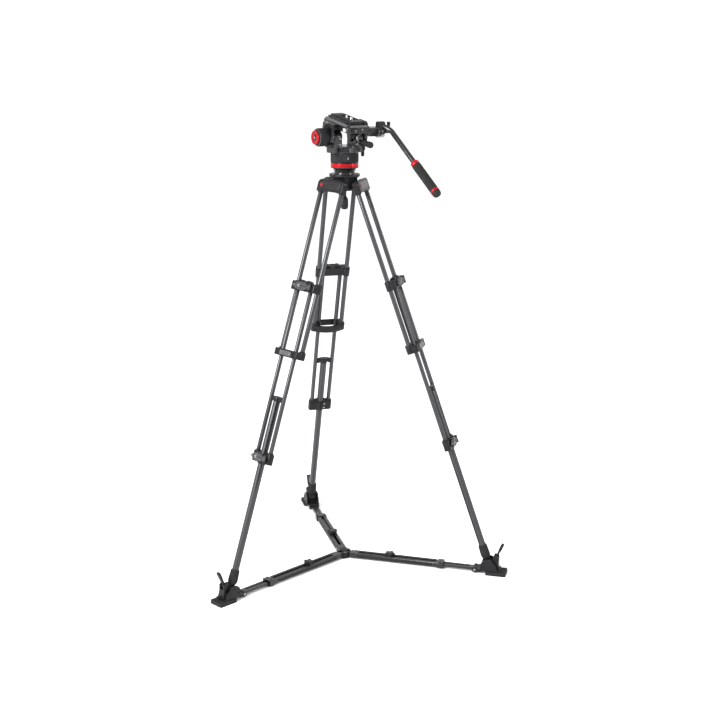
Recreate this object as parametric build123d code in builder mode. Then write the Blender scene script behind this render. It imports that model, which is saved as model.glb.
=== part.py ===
from build123d import *
from math import cos, radians, sin, sqrt
import os

os.makedirs("parts", exist_ok=True)

# ---------------------------------------------------------------- driving dimensions (mm, degrees)
# Frame: the floor is Z = 0, the bowl's axis is the Z axis, and the back leg points to +Y.

# Legs. Distances named _S are measured down the leg from its hinge.
LEG_AZIMUTHS = {"back": 90, "left": 210, "right": 330}
SLOPE = 19.416
HINGE_R = 58
HINGE_Z = 1449
UPPER_HALF = 54
MIDDLE_HALF = 34
STAGE_OFFSET = 13
UPPER_TUBE_R = 8.5
MIDDLE_TUBE_R = 8
LOWER_TUBE_R = 13
TUBE_WALL = 1.5
TUBE_TOP_S = 8
CARRIAGE_S = 377
BRIDGE_S = 624
YOKE_S = 793
CLAMP_S = 1009
CUP_S = 1425
FOOT_S = 1498
FOOT_R = 14
SLIDE_GAP = 0.3
FIT_GAP = 0.06

# Crown, bowl and half ball
BALL_Z = 1486
BALL_R = 37.5
BOWL_R = 37.8
BOWL_UNDERSIDE_R = 44
RIM_R = 56
RIM_Z = 1488
CROWN_Z = 1430
LUG_HALF = 30
LUG_R = 11
BOLT_R = 5

# Ground spreader
CHANNEL_HALF = 18
BAR_HALF = 13.5
CHANNEL_LOW = 5
CHANNEL_HIGH = 23
CHANNEL_START = 28
COLLAR_R = 388
SLOT_START = 60
SLOT_END = 368
KNOB_AT = 185
KNUCKLE_R = 520
KNUCKLE_Z = 13
PAD_OUTER = 639
PAD_INNER = 562
PAD_HALF = 31.5
PAD_THICK = 14
CHEEK_INNER = 21
CHEEK_THICK = 5
LEVER_R = 598
LEVER_Z = 64
HUB_R = 28
HUB_PIN_R = 20
HUB_PIN_Z = 14
HUB_GAP = 2.7

# Fluid head. Its own frame has +Y along the lens and +X to the operator's right.
PAN_REST = 16
TILT_REST = 8
TILT_Z = 1622
DRAG_RING_R = 51
DECK_LOW = 1565
DECK_TOP = 1589
COLUMN_INNER = 27
COLUMN_OUTER = 62
COLUMN_DEPTH = 24
EAR_INNER = 63
EAR_OUTER = 76
EAR_R = 34
DIAL_R = 32
DIAL_OUTER = 118
PLATFORM_HALF = 47
PLATFORM_FRONT = 80
PLATFORM_REAR = -96
PLATFORM_LOW = 30
PLATFORM_TOP = 58
PLATE_HALF = 26
PLATE_FRONT = 68
PLATE_REAR = -82
PLATE_TOP = 70
SMALL_SCREW_Y = -4
SMALL_STUD_R = 3.175
LARGE_SCREW_Y = -37
LARGE_STUD_R = 4.76
ROSETTE_Y = -85
ROSETTE_Z = 32
BAR_R = 9.5
GRIP_R = 16


# ---------------------------------------------------------------- frames and helpers
def leg_plane(azimuth):
    """One leg's frame: origin on the hinge, X along the hinge, Y outward, Z up the leg."""
    a = radians(azimuth)
    s = radians(SLOPE)
    radial = Vector(cos(a), sin(a), 0)
    up = radial * -sin(s) + Vector(0, 0, cos(s))
    return Plane(origin=radial * HINGE_R + Vector(0, 0, HINGE_Z), x_dir=Vector(sin(a), -cos(a), 0), z_dir=up)


def hinge_side(azimuth, offset):
    """A plane across one leg's hinge axis, with X outward and Y up."""
    a = radians(azimuth)
    axis = Vector(sin(a), -cos(a), 0)
    return Plane(origin=axis * offset, x_dir=Vector(cos(a), sin(a), 0), z_dir=axis)


def arm_plane(azimuth):
    """One spreader arm's frame: X outward along the floor, Z up."""
    a = radians(azimuth)
    return Plane(origin=(0, 0, 0), x_dir=Vector(cos(a), sin(a), 0), z_dir=(0, 0, 1))


def head_plane():
    """The head's frame, turned about the bowl's axis."""
    a = radians(PAN_REST)
    return Plane(origin=(0, 0, 0), x_dir=Vector(cos(a), sin(a), 0), z_dir=(0, 0, 1))


def tilt_plane():
    """The platform's frame: origin on the tilt axis, nose raised by the rest tilt."""
    a = radians(PAN_REST)
    t = radians(TILT_REST)
    back = Vector(sin(a), -cos(a), 0)
    up = back * sin(t) + Vector(0, 0, cos(t))
    return Plane(origin=(0, 0, TILT_Z), x_dir=Vector(cos(a), sin(a), 0), z_dir=up)


def save(part, name, plane=Plane.XY):
    """Place a finished piece, name it and write it."""
    placed = part.moved(plane.location)
    placed.label = name
    export_step(placed, f"parts/{name}.step")


def foot_point():
    """The foot's pivot in the arm's frame: radius and height."""
    s = radians(SLOPE)
    radius = HINGE_R + FOOT_S * sin(s) + STAGE_OFFSET * cos(s)
    height = HINGE_Z - FOOT_S * cos(s) + STAGE_OFFSET * sin(s)
    return radius, height


# ---------------------------------------------------------------- crown and bowl
def make_crown():
    """Rim, skirt and spherical bowl, with a hinge lug for each leg."""
    hole = 20
    hole_top = BALL_Z - sqrt(BOWL_R**2 - hole**2)
    hole_low = BALL_Z - sqrt(BOWL_UNDERSIDE_R**2 - hole**2)
    reach = 37
    reach_z = BALL_Z - sqrt(BOWL_UNDERSIDE_R**2 - reach**2)
    inside_mid = (30, BALL_Z - sqrt(BOWL_R**2 - 30**2))
    under_mid = (29, BALL_Z - sqrt(BOWL_UNDERSIDE_R**2 - 29**2))
    with BuildPart() as crown:
        with BuildSketch(Plane.XZ):
            with BuildLine():
                Polyline(
                    (BOWL_R, BALL_Z), (BOWL_R + 0.6, RIM_Z - 0.6),
                    (BOWL_R + 1.2, RIM_Z), (RIM_R - 2, RIM_Z),
                    (RIM_R, RIM_Z - 2), (RIM_R, RIM_Z - 8), (47, RIM_Z - 14), (44, CROWN_Z + 3),
                    (42, CROWN_Z), (39.5, CROWN_Z), (39.5, reach_z - 6), (reach, reach_z),
                )
                ThreePointArc((reach, reach_z), under_mid, (hole, hole_low))
                Line((hole, hole_low), (hole, hole_top))
                ThreePointArc((hole, hole_top), inside_mid, (BOWL_R, BALL_Z))
            make_face()
        revolve(axis=Axis.Z)
        for azimuth in LEG_AZIMUTHS.values():
            with BuildSketch(hinge_side(azimuth, -LUG_HALF)):
                with Locations((HINGE_R, HINGE_Z)):
                    Circle(LUG_R)
                with Locations((48, HINGE_Z)):
                    Rectangle(20, 2 * LUG_R)
            extrude(amount=2 * LUG_HALF)
            with BuildSketch(hinge_side(azimuth, -LUG_HALF)):
                with Locations((HINGE_R, HINGE_Z)):
                    Circle(BOLT_R)
            extrude(amount=2 * LUG_HALF, mode=Mode.SUBTRACT)
        with BuildSketch(Plane.XY.offset(CROWN_Z - 5)):
            Circle(39.5)
        extrude(amount=reach_z - 6 - CROWN_Z + 5, mode=Mode.SUBTRACT)
    return crown.part


def make_hinge_bolts():
    """The three leg hinge bolts."""
    with BuildPart() as bolts:
        for azimuth in LEG_AZIMUTHS.values():
            with BuildSketch(hinge_side(azimuth, -42)):
                with Locations((HINGE_R, HINGE_Z)):
                    Circle(BOLT_R)
            extrude(amount=84)
    return bolts.part


def make_half_ball():
    """Half ball, tapered neck, pan base and stud."""
    flat_z = BALL_Z - 31
    flat_r = sqrt(BALL_R**2 - 31**2)
    neck_z = BALL_Z + 9
    neck_r = sqrt(BALL_R**2 - 9**2)
    with BuildPart() as ball:
        with BuildSketch(Plane.XZ):
            with BuildLine():
                Polyline((0, 1380), (4, 1380), (5, 1381), (5, flat_z), (flat_r, flat_z))
                ThreePointArc((flat_r, flat_z), (BALL_R, BALL_Z), (neck_r, neck_z))
                Polyline(
                    (neck_r, neck_z), (38, neck_z + 4), (41, 1506), (43.5, 1508.5), (43.5, 1530),
                    (0, 1530), (0, 1380),
                )
            make_face()
        revolve(axis=Axis.Z)
    return ball.part


def make_clamp_washer():
    """Dished washer that slides on the underside of the bowl."""
    inner = BOWL_UNDERSIDE_R + SLIDE_GAP
    outer = inner + 4.5
    low_r = 14
    high_r = 28
    points = []
    for radius, edge in ((inner, high_r), (inner, low_r), (outer, low_r), (outer, high_r)):
        points.append((edge, BALL_Z - sqrt(radius**2 - edge**2)))
    mid_edge = 21.5
    with BuildPart() as washer:
        with BuildSketch(Plane.XZ):
            with BuildLine():
                ThreePointArc(points[0], (mid_edge, BALL_Z - sqrt(inner**2 - mid_edge**2)), points[1])
                Line(points[1], points[2])
                ThreePointArc(points[2], (mid_edge, BALL_Z - sqrt(outer**2 - mid_edge**2)), points[3])
                Line(points[3], points[0])
            make_face()
        revolve(axis=Axis.Z)
    return washer.part


def make_bowl_knob():
    """Tie-down knob: dished flange, sleeve and flared grip."""
    flange_r = 20
    seat = BOWL_UNDERSIDE_R + 2 * SLIDE_GAP + 4.5
    bore = 5 + FIT_GAP
    edge_z = BALL_Z - sqrt(seat**2 - flange_r**2)
    bore_z = BALL_Z - sqrt(seat**2 - bore**2)
    mid_r = 13
    with BuildPart() as knob:
        with BuildSketch(Plane.XZ):
            with BuildLine():
                mid_z = BALL_Z - sqrt(seat**2 - mid_r**2)
                ThreePointArc((bore, bore_z), (mid_r, mid_z), (flange_r, edge_z))
                Polyline(
                    (flange_r, edge_z), (flange_r, edge_z - 3), (9, 1430), (6.8, 1425), (6.8, 1406),
                    (11, 1400), (13.5, 1394), (14, 1370), (12, 1362), (8, 1359), (0, 1359), (0, 1377),
                    (bore, 1377), (bore, bore_z),
                )
            make_face()
        revolve(axis=Axis.Z)
        with BuildSketch(Plane.XY.offset(1364)):
            with PolarLocations(14.6, 12):
                Circle(1.5)
        extrude(amount=28, mode=Mode.SUBTRACT)
    return knob.part


# ---------------------------------------------------------------- legs, in the leg's own frame
def tube_pair(half, y, radius, top, bottom):
    """Two hollow tubes side by side, between two heights."""
    with BuildPart() as tubes:
        with BuildSketch(Plane.XY.offset(bottom)):
            with Locations((-half, y), (half, y)):
                Circle(radius)
                Circle(radius - TUBE_WALL, mode=Mode.SUBTRACT)
        extrude(amount=top - bottom)
    return tubes.part


def rod_pair(half, y, radius, low, high):
    """Two round bars along the leg, used to cut a casting's sockets and guides."""
    with BuildPart() as rods:
        with BuildSketch(Plane.XY.offset(low)):
            with Locations((-half, y), (half, y)):
                Circle(radius)
        extrude(amount=high - low)
    return rods.part


def make_shoulder():
    """Shoulder casting: two cheeks round the crown's lug, and a cover across them."""
    low = -26
    high = 19
    with BuildPart() as shoulder:
        with BuildSketch(Plane.XY.offset(low)):
            with Locations((0, 2.5)):
                RectangleRounded(136, 25, 7)
        extrude(amount=high - low)
        with BuildSketch(Plane.XZ.offset(-20)):
            with BuildLine():
                Polyline((-46, high), (46, high))
                ThreePointArc((46, high), (60, high - 7), (68, high - 21))
                Polyline((68, high - 21), (68, low), (-68, low), (-68, high - 21))
                ThreePointArc((-68, high - 21), (-60, high - 7), (-46, high))
            make_face()
        extrude(amount=40, mode=Mode.INTERSECT)
        fillet(shoulder.faces().sort_by(Axis.Z)[-1].edges().filter_by(Axis.X), 4)
        with BuildSketch(Plane.XY.offset(low - 1)):
            with Locations((0, -7)):
                Rectangle(2 * LUG_HALF + 1, 37)
        extrude(amount=high - low + 2, mode=Mode.SUBTRACT)
        add(rod_pair(UPPER_HALF, 0, UPPER_TUBE_R, low - 1, -TUBE_TOP_S), mode=Mode.SUBTRACT)
        with BuildSketch(Plane.YZ.offset(-43)):
            Circle(BOLT_R + FIT_GAP)
        extrude(amount=86, mode=Mode.SUBTRACT)
    return shoulder.part


def make_bridge():
    """Lower end of the upper stage: tube sockets, guides for the middle tubes, bowed bar and outer bar."""
    low = -BRIDGE_S - 13
    window = 30.5
    with BuildPart() as bridge:
        with BuildSketch(Plane.XY.offset(low)):
            with Locations((-UPPER_HALF, 0), (UPPER_HALF, 0)):
                Circle(13.5)
            with Locations((-44, 14), (44, 14)):
                RectangleRounded(32, 34, 6)
            with BuildLine():
                ThreePointArc((-60, -11), (0, -27), (60, -11))
                Line((60, -11), (56, 0))
                ThreePointArc((56, 0), (0, -19), (-56, 0))
                Line((-56, 0), (-60, -11))
            make_face()
            with Locations((0, 30)):
                Rectangle(80, 4)
            with Locations((0, 13)):
                Rectangle(2 * window, 30, mode=Mode.SUBTRACT)
            with Locations((-MIDDLE_HALF, STAGE_OFFSET), (MIDDLE_HALF, STAGE_OFFSET)):
                Circle(MIDDLE_TUBE_R + SLIDE_GAP, mode=Mode.SUBTRACT)
            with Locations((-UPPER_HALF, 0), (UPPER_HALF, 0)):
                Circle(UPPER_TUBE_R, mode=Mode.SUBTRACT)
        extrude(amount=26)
    return bridge.part


def lever_pin(x, y, centre):
    """A lever's hinge pin between two ears."""
    with BuildPart() as pin:
        with BuildSketch(Plane.XY.offset(centre - 14)):
            with Locations((x, y)):
                Circle(2.2)
        extrude(amount=28)
        for low in (centre - 14, centre + 10):
            with BuildSketch(Plane.XY.offset(low)):
                with Locations((x, y - 8)):
                    Rectangle(11, 16)
                with Locations((x, y)):
                    Circle(5.5)
            extrude(amount=4)
    return pin.part


def make_carriage():
    """Top of the middle stage: runs on the upper tubes and holds the middle tubes."""
    low = -CARRIAGE_S - 17
    high = -CARRIAGE_S + 15
    with BuildPart() as carriage:
        with BuildSketch(Plane.XY.offset(low)):
            with Locations((-UPPER_HALF, 0), (UPPER_HALF, 0)):
                Circle(13)
            with Locations((0, 12.5)):
                RectangleRounded(124, 29, 8)
            with Locations((-UPPER_HALF, 0), (UPPER_HALF, 0)):
                Circle(UPPER_TUBE_R + SLIDE_GAP, mode=Mode.SUBTRACT)
        extrude(amount=high - low)
        for x in (-19, 19):
            with BuildSketch(Plane.XZ.offset(-22)):
                with Locations((x, high - 6)):
                    Circle(15)
            extrude(amount=18)
        add(lever_pin(-42, 34, -CARRIAGE_S))
        add(rod_pair(MIDDLE_HALF, STAGE_OFFSET, MIDDLE_TUBE_R, low - 1, high - 4), mode=Mode.SUBTRACT)
    return carriage.part


def make_clamp():
    """Bottom of the middle stage: holds the middle tubes and grips the single lower tube."""
    low = -CLAMP_S - 19
    high = -CLAMP_S + 19
    with BuildPart() as clamp:
        with BuildSketch(Plane.XY.offset(low)):
            with Locations((0, STAGE_OFFSET)):
                Circle(18.5)
                RectangleRounded(94, 27, 10)
                Circle(LOWER_TUBE_R + SLIDE_GAP, mode=Mode.SUBTRACT)
        extrude(amount=high - low)
        add(rod_pair(MIDDLE_HALF, STAGE_OFFSET, MIDDLE_TUBE_R, low + 4, high + 1), mode=Mode.SUBTRACT)
        with BuildSketch(Plane.XY.offset(low)):
            with Locations((0, -6)):
                Rectangle(3, 14)
        extrude(amount=high - low, mode=Mode.SUBTRACT)
        add(lever_pin(-33, 37, -CLAMP_S))
    return clamp.part


def make_lens_lever(pivot_x, pivot_y, centre, length):
    """Leaf-shaped lock lever, crowned outward, on a barrel along the leg."""
    face_y = pivot_y - 5.2
    half_height = 15
    tip_x = pivot_x + length
    mid_x = (pivot_x + tip_x) / 2
    with BuildPart() as lever:
        with BuildSketch(Plane.XZ.offset(-face_y)):
            with BuildLine():
                ThreePointArc((pivot_x - 1, centre), (mid_x, centre + half_height), (tip_x, centre))
                ThreePointArc((tip_x, centre), (mid_x, centre - half_height), (pivot_x - 1, centre))
            make_face()
        extrude(amount=-9)
        outer = lever.faces().sort_by(Axis.Y)[-1]
        fillet(outer.edges(), 3.5)
        with BuildSketch(Plane.XY.offset(centre - 9.5)):
            with Locations((pivot_x, pivot_y)):
                Circle(5.2)
        extrude(amount=19)
        with BuildSketch(Plane.XY.offset(centre - 20)):
            with Locations((pivot_x, pivot_y)):
                Circle(2.2 + FIT_GAP)
        extrude(amount=40, mode=Mode.SUBTRACT)
        for low in (centre - 20, centre + 9.5):
            with BuildSketch(Plane.XY.offset(low)):
                with Locations((pivot_x, pivot_y)):
                    Rectangle(14, 14)
            extrude(amount=10.5, mode=Mode.SUBTRACT)
    return lever.part


def make_lower_tube():
    """The single tube of the lower stage."""
    with BuildPart() as tube:
        with BuildSketch(Plane.XY.offset(-CUP_S - 25)):
            with Locations((0, STAGE_OFFSET)):
                Circle(LOWER_TUBE_R)
                Circle(LOWER_TUBE_R - TUBE_WALL, mode=Mode.SUBTRACT)
        extrude(amount=CUP_S + 25 - YOKE_S - 1)
    return tube.part


def make_yoke():
    """Arched guide on top of the lower tube, running between the middle tubes."""
    low = -YOKE_S - 8
    with BuildPart() as yoke:
        with BuildSketch(Plane.XZ.offset(-STAGE_OFFSET - 7)):
            with BuildLine():
                Polyline((-29, low + 13), (-29, low), (-19, low), (-15, low + 4), (15, low + 4), (19, low),
                         (29, low), (29, low + 13))
                ThreePointArc((29, low + 13), (0, low + 20), (-29, low + 13))
            make_face()
        extrude(amount=14)
        with BuildSketch(Plane.XY.offset(low)):
            with Locations((0, STAGE_OFFSET)):
                Circle(LOWER_TUBE_R + 1.2)
        extrude(amount=15)
        with BuildSketch(Plane.XY.offset(low - 1)):
            with Locations((0, STAGE_OFFSET)):
                Circle(LOWER_TUBE_R)
        extrude(amount=8, mode=Mode.SUBTRACT)
        bores = rod_pair(MIDDLE_HALF, STAGE_OFFSET, MIDDLE_TUBE_R + SLIDE_GAP, low - 1, low + 30)
        add(bores, mode=Mode.SUBTRACT)
    return yoke.part


def make_foot_cup():
    """Rubber cup round the tube's end, tapering to the round foot."""
    with BuildPart() as cup:
        with BuildSketch(Plane.YZ):
            with BuildLine():
                Polyline(
                    (STAGE_OFFSET, -CUP_S), (STAGE_OFFSET + 16, -CUP_S), (STAGE_OFFSET + 16, -CUP_S - 12),
                    (STAGE_OFFSET + 18, -CUP_S - 30), (STAGE_OFFSET + 17, -CUP_S - 46),
                    (STAGE_OFFSET + 10, -CUP_S - 58), (STAGE_OFFSET + 10, -FOOT_S), (STAGE_OFFSET, -FOOT_S),
                    (STAGE_OFFSET, -CUP_S),
                )
            make_face()
        revolve(axis=Axis((0, STAGE_OFFSET, 0), (0, 0, 1)))
        with BuildSketch(Plane.YZ.offset(-17)):
            with Locations((STAGE_OFFSET, -FOOT_S)):
                Circle(FOOT_R)
        extrude(amount=34)
        with BuildSketch(Plane.XY.offset(-CUP_S - 25)):
            with Locations((0, STAGE_OFFSET)):
                Circle(LOWER_TUBE_R)
        extrude(amount=26, mode=Mode.SUBTRACT)
    return cup.part


# ---------------------------------------------------------------- spreader, in the arm's own frame
def make_pad():
    """Rubber floor pad."""
    with BuildPart() as pad:
        with BuildSketch():
            with Locations(((PAD_OUTER + PAD_INNER) / 2, 0)):
                RectangleRounded(PAD_OUTER - PAD_INNER, 2 * PAD_HALF, 7)
        extrude(amount=PAD_THICK)
        top = pad.faces().sort_by(Axis.Z)[-1]
        fillet(top.edges(), 2.5)
    return pad.part


def make_bracket():
    """Foot bracket: base, two low cheeks, saddle, notched post, knuckle fork and lever pin."""
    radius, height = foot_point()
    base_top = PAD_THICK + 6
    outer = CHEEK_INNER + CHEEK_THICK
    with BuildPart() as bracket:
        with BuildSketch(Plane.XY.offset(PAD_THICK)):
            with Locations((572, 0)):
                RectangleRounded(88, 2 * outer, 5)
        extrude(amount=6)
        for low in (-outer, CHEEK_INNER):
            with BuildSketch(Plane.XZ.offset(-low - CHEEK_THICK)):
                with BuildLine():
                    Polyline((541, base_top), (606, base_top), (601, 38), (588, 54))
                    ThreePointArc((588, 54), (568, 61), (548, 51))
                    Polyline((548, 51), (541, 38), (541, base_top))
                make_face()
            extrude(amount=CHEEK_THICK)
        with BuildSketch(Plane.XZ.offset(-14)):
            with BuildLine():
                Polyline((586, base_top), (610, base_top), (609, 70), (601, 75), (591, 75), (587, 66))
                Line((587, 66), (586, base_top))
            make_face()
        extrude(amount=28)
        with BuildSketch(Plane.XY.offset(LEVER_Z - 12)):
            with Locations((LEVER_R, 0)):
                Rectangle(30, 16)
        extrude(amount=30, mode=Mode.SUBTRACT)
        for low in (-outer, 10):
            with BuildSketch(Plane.XZ.offset(-low - 16)):
                with BuildLine():
                    Polyline((592, base_top), (606, base_top), (600, 40), (592, 40), (592, base_top))
                make_face()
            extrude(amount=16)
        with BuildSketch(Plane.XY.offset(base_top)):
            with Locations((radius, 0)):
                Rectangle(30, 2 * CHEEK_INNER)
        extrude(amount=11)
        with BuildSketch(Plane.XZ.offset(-CHEEK_INNER + 3)):
            with Locations((radius, height)):
                Circle(FOOT_R + 0.4)
        extrude(amount=2 * CHEEK_INNER - 6, mode=Mode.SUBTRACT)
        with BuildSketch(Plane.XZ.offset(-16)):
            with Locations((LEVER_R, LEVER_Z)):
                Circle(2.5)
        extrude(amount=32)
        for low in (-BAR_HALF - 7, BAR_HALF + 0.5):
            with BuildSketch(Plane.XZ.offset(-low - 6.5)):
                with Locations((KNUCKLE_R, KNUCKLE_Z)):
                    Circle(10.5)
                with Locations((KNUCKLE_R + 11, KNUCKLE_Z + 1)):
                    Rectangle(22, 12)
            extrude(amount=6.5)
        with BuildSketch(Plane.XZ.offset(-BAR_HALF - 9)):
            with Locations((KNUCKLE_R, KNUCKLE_Z)):
                Circle(3.5)
        extrude(amount=2 * BAR_HALF + 18)
    return bracket.part


def make_inner_bar():
    """Grooved bar that slides in the channel, with an eye round the knuckle pin and the knob's screw."""
    with BuildPart() as bar:
        with BuildSketch(Plane.XY.offset(9.5)):
            with Locations(((KNOB_AT - 15 + KNUCKLE_R) / 2, 0)):
                Rectangle(KNUCKLE_R - KNOB_AT + 15, 2 * BAR_HALF)
        extrude(amount=9.5)
        with BuildSketch(Plane.XY.offset(17)):
            with Locations(((KNOB_AT + KNUCKLE_R - 8) / 2, 0)):
                SlotOverall(KNUCKLE_R - KNOB_AT - 34, 10)
        extrude(amount=3, mode=Mode.SUBTRACT)
        with BuildSketch(Plane.XZ.offset(-BAR_HALF)):
            with Locations((KNUCKLE_R, KNUCKLE_Z)):
                Circle(9.5)
        extrude(amount=2 * BAR_HALF)
        with BuildSketch(Plane.XZ.offset(-BAR_HALF)):
            with Locations((KNUCKLE_R, KNUCKLE_Z)):
                Circle(3.5)
        extrude(amount=2 * BAR_HALF, mode=Mode.SUBTRACT)
        with BuildSketch(Plane.XY.offset(18)):
            with Locations((KNOB_AT, 0)):
                Circle(3)
        extrude(amount=16)
    return bar.part


def make_slot_knob():
    """Five-lobed knob over the slot."""
    with BuildPart() as knob:
        with BuildSketch(Plane.XY.offset(CHANNEL_HIGH + 0.5)):
            with Locations((KNOB_AT, 0)):
                Circle(15)
                with PolarLocations(13.5, 5):
                    Circle(6.5)
        extrude(amount=13)
        top = knob.faces().sort_by(Axis.Z)[-1]
        fillet(top.edges(), 2)
        with BuildSketch(Plane.XY.offset(CHANNEL_HIGH)):
            with Locations((KNOB_AT, 0)):
                Circle(3 + FIT_GAP)
        extrude(amount=11.2, mode=Mode.SUBTRACT)
    return knob.part


def make_channel(pin_hole):
    """Slotted channel with its hub tongue and end collar."""
    with BuildPart() as channel:
        with BuildSketch(Plane.YZ.offset(CHANNEL_START)):
            with Locations((0, (CHANNEL_LOW + CHANNEL_HIGH) / 2)):
                RectangleRounded(2 * CHANNEL_HALF, CHANNEL_HIGH - CHANNEL_LOW, 3)
        extrude(amount=COLLAR_R - 12 - CHANNEL_START)
        with BuildSketch(Plane.YZ.offset(COLLAR_R - 14)):
            with Locations((0, (CHANNEL_LOW + CHANNEL_HIGH) / 2)):
                RectangleRounded(2 * CHANNEL_HALF + 7, CHANNEL_HIGH - CHANNEL_LOW + 5, 4)
        extrude(amount=24)
        with BuildSketch(Plane.YZ.offset(CHANNEL_START + 14)):
            with Locations((0, 14.25)):
                Rectangle(2 * BAR_HALF + 2, 11.5)
        extrude(amount=COLLAR_R, mode=Mode.SUBTRACT)
        with BuildSketch(Plane.XY.offset(CHANNEL_HIGH - 8)):
            with Locations(((SLOT_START + SLOT_END) / 2, 0)):
                SlotOverall(SLOT_END - SLOT_START, 11)
        extrude(amount=10, mode=Mode.SUBTRACT)
        with BuildSketch(Plane.XZ.offset(-5)):
            with Locations((HUB_PIN_R + 6, HUB_PIN_Z)):
                Rectangle(12, 16)
            with Locations((HUB_PIN_R, HUB_PIN_Z)):
                Circle(8)
        extrude(amount=10)
        with BuildSketch(Plane.XZ.offset(-6)):
            with Locations((HUB_PIN_R, HUB_PIN_Z)):
                Circle(pin_hole)
        extrude(amount=12, mode=Mode.SUBTRACT)
    return channel.part


def make_hub():
    """Hub: a disc with a slot and a cross pin for each arm, on a small floor disc."""
    with BuildPart() as hub:
        with BuildSketch():
            Circle(17)
        extrude(amount=4)
        with BuildSketch(Plane.XY.offset(3)):
            Circle(HUB_R)
        extrude(amount=22)
        fillet(hub.faces().sort_by(Axis.Z)[-1].edges(), 2)
        for azimuth in LEG_AZIMUTHS.values():
            with BuildSketch(arm_plane(azimuth).offset(3.2)):
                with Locations((24.5, 0)):
                    Rectangle(33, 16)
            extrude(amount=30, mode=Mode.SUBTRACT)
        for azimuth in LEG_AZIMUTHS.values():
            with BuildSketch(hinge_side(azimuth, -12)):
                with Locations((HUB_PIN_R, HUB_PIN_Z)):
                    Circle(2.5)
            extrude(amount=24)
    return hub.part


def make_foot_lever():
    """Cam lever: barrel on the post's pin, narrow neck and broad rounded blade, leaning outward."""
    lean = Plane(origin=(LEVER_R, 0, LEVER_Z), x_dir=(0, 1, 0), z_dir=(0.4, 0, 0.9165))
    with BuildPart() as lever:
        with BuildSketch(Plane.XZ.offset(-7)):
            with Locations((LEVER_R, LEVER_Z)):
                Circle(6.5)
        extrude(amount=14)
        with BuildSketch(lean):
            RectangleRounded(12, 7, 2)
        extrude(amount=40)
        with BuildSketch(lean.offset(16)):
            RectangleRounded(16, 8, 3)
        with BuildSketch(lean.offset(62)):
            RectangleRounded(18, 11, 4)
        loft()
        fillet(lever.faces().sort_by(Axis((0, 0, 0), (0.4, 0, 0.9165)))[-1].edges(), 3)
        with BuildSketch(Plane.XZ.offset(-9)):
            with Locations((LEVER_R, LEVER_Z)):
                Circle(2.5 + FIT_GAP)
        extrude(amount=18, mode=Mode.SUBTRACT)
    return lever.part


# ---------------------------------------------------------------- head, in the head's own frame
def make_red_ring():
    """Rounded ring round the pan base."""
    with BuildPart() as ring:
        with BuildSketch(Plane.XZ):
            with Locations((47, 1519.5)):
                RectangleRounded(7, 19, 2.5)
        revolve(axis=Axis.Z)
    return ring.part


def make_pan_drag_ring():
    """Ribbed ring that sets the pan drag."""
    with BuildPart() as ring:
        with BuildSketch(Plane.XY.offset(1531)):
            Circle(DRAG_RING_R)
            Circle(45.4, mode=Mode.SUBTRACT)
            with PolarLocations(DRAG_RING_R + 0.6, 60):
                Circle(1.4, mode=Mode.SUBTRACT)
        extrude(amount=33)
    return ring.part


def make_head_body():
    """Pan base, deck and two columns with the tilt bores and an open space between them."""
    with BuildPart() as body:
        with BuildSketch(Plane.XY.offset(1530.4)):
            Circle(45)
        extrude(amount=DECK_LOW - 1530.4)
        with BuildSketch(Plane.XY.offset(DECK_LOW)):
            Circle(48)
            RectangleRounded(2 * COLUMN_OUTER, 62, 12)
        extrude(amount=DECK_TOP - DECK_LOW)
        for low in (-COLUMN_OUTER, COLUMN_INNER):
            with BuildSketch(Plane.YZ.offset(low)):
                with Locations((0, TILT_Z)):
                    Circle(COLUMN_DEPTH + 3)
                with BuildLine():
                    Polyline((-31, DECK_TOP - 6), (31, DECK_TOP - 6), (27, TILT_Z), (-27, TILT_Z))
                    Line((-27, TILT_Z), (-31, DECK_TOP - 6))
                make_face()
            extrude(amount=COLUMN_OUTER - COLUMN_INNER)
        for low in (-COLUMN_INNER - 0.5, COLUMN_INNER - 2.5):
            with BuildSketch(Plane.YZ.offset(low)):
                with Locations((0, TILT_Z)):
                    Circle(20)
            extrude(amount=3)
        for low in (-COLUMN_OUTER - 1, COLUMN_INNER + 6):
            with BuildSketch(Plane.YZ.offset(low)):
                with Locations((0, TILT_Z)):
                    Circle(15 + FIT_GAP)
            extrude(amount=COLUMN_OUTER - COLUMN_INNER - 5, mode=Mode.SUBTRACT)
        with BuildSketch(Plane.XZ.offset(28)):
            with Locations((55, 1600)):
                Circle(5)
        extrude(amount=12)
    return body.part


def make_bubble_level():
    """Round spirit level at the deck's rear edge."""
    with BuildPart() as level:
        with BuildSketch(Plane.XY.offset(DECK_LOW + 2)):
            with Locations((0, -48.2)):
                Circle(9)
        extrude(amount=16)
        with BuildSketch(Plane.XY.offset(DECK_LOW + 1)):
            Circle(48)
            Rectangle(124, 62)
        extrude(amount=20, mode=Mode.SUBTRACT)
    return level.part


def make_pan_lock_lever():
    """Pan lock: a round boss on a radial screw, with a paddle that hangs over the ribbed ring."""
    boss = Plane(origin=(COLUMN_OUTER + 0.4, -14, 1577), x_dir=(0, 1, 0), z_dir=(1, 0, 0))
    with BuildPart() as lever:
        with BuildSketch(boss):
            Circle(9)
        extrude(amount=12)
        fillet(lever.faces().sort_by(Axis.X)[-1].edges(), 3)
        with BuildSketch(boss.offset(2)):
            with Locations((0, -14)):
                RectangleRounded(14, 30, 6)
        extrude(amount=6)
    return lever.part


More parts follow.
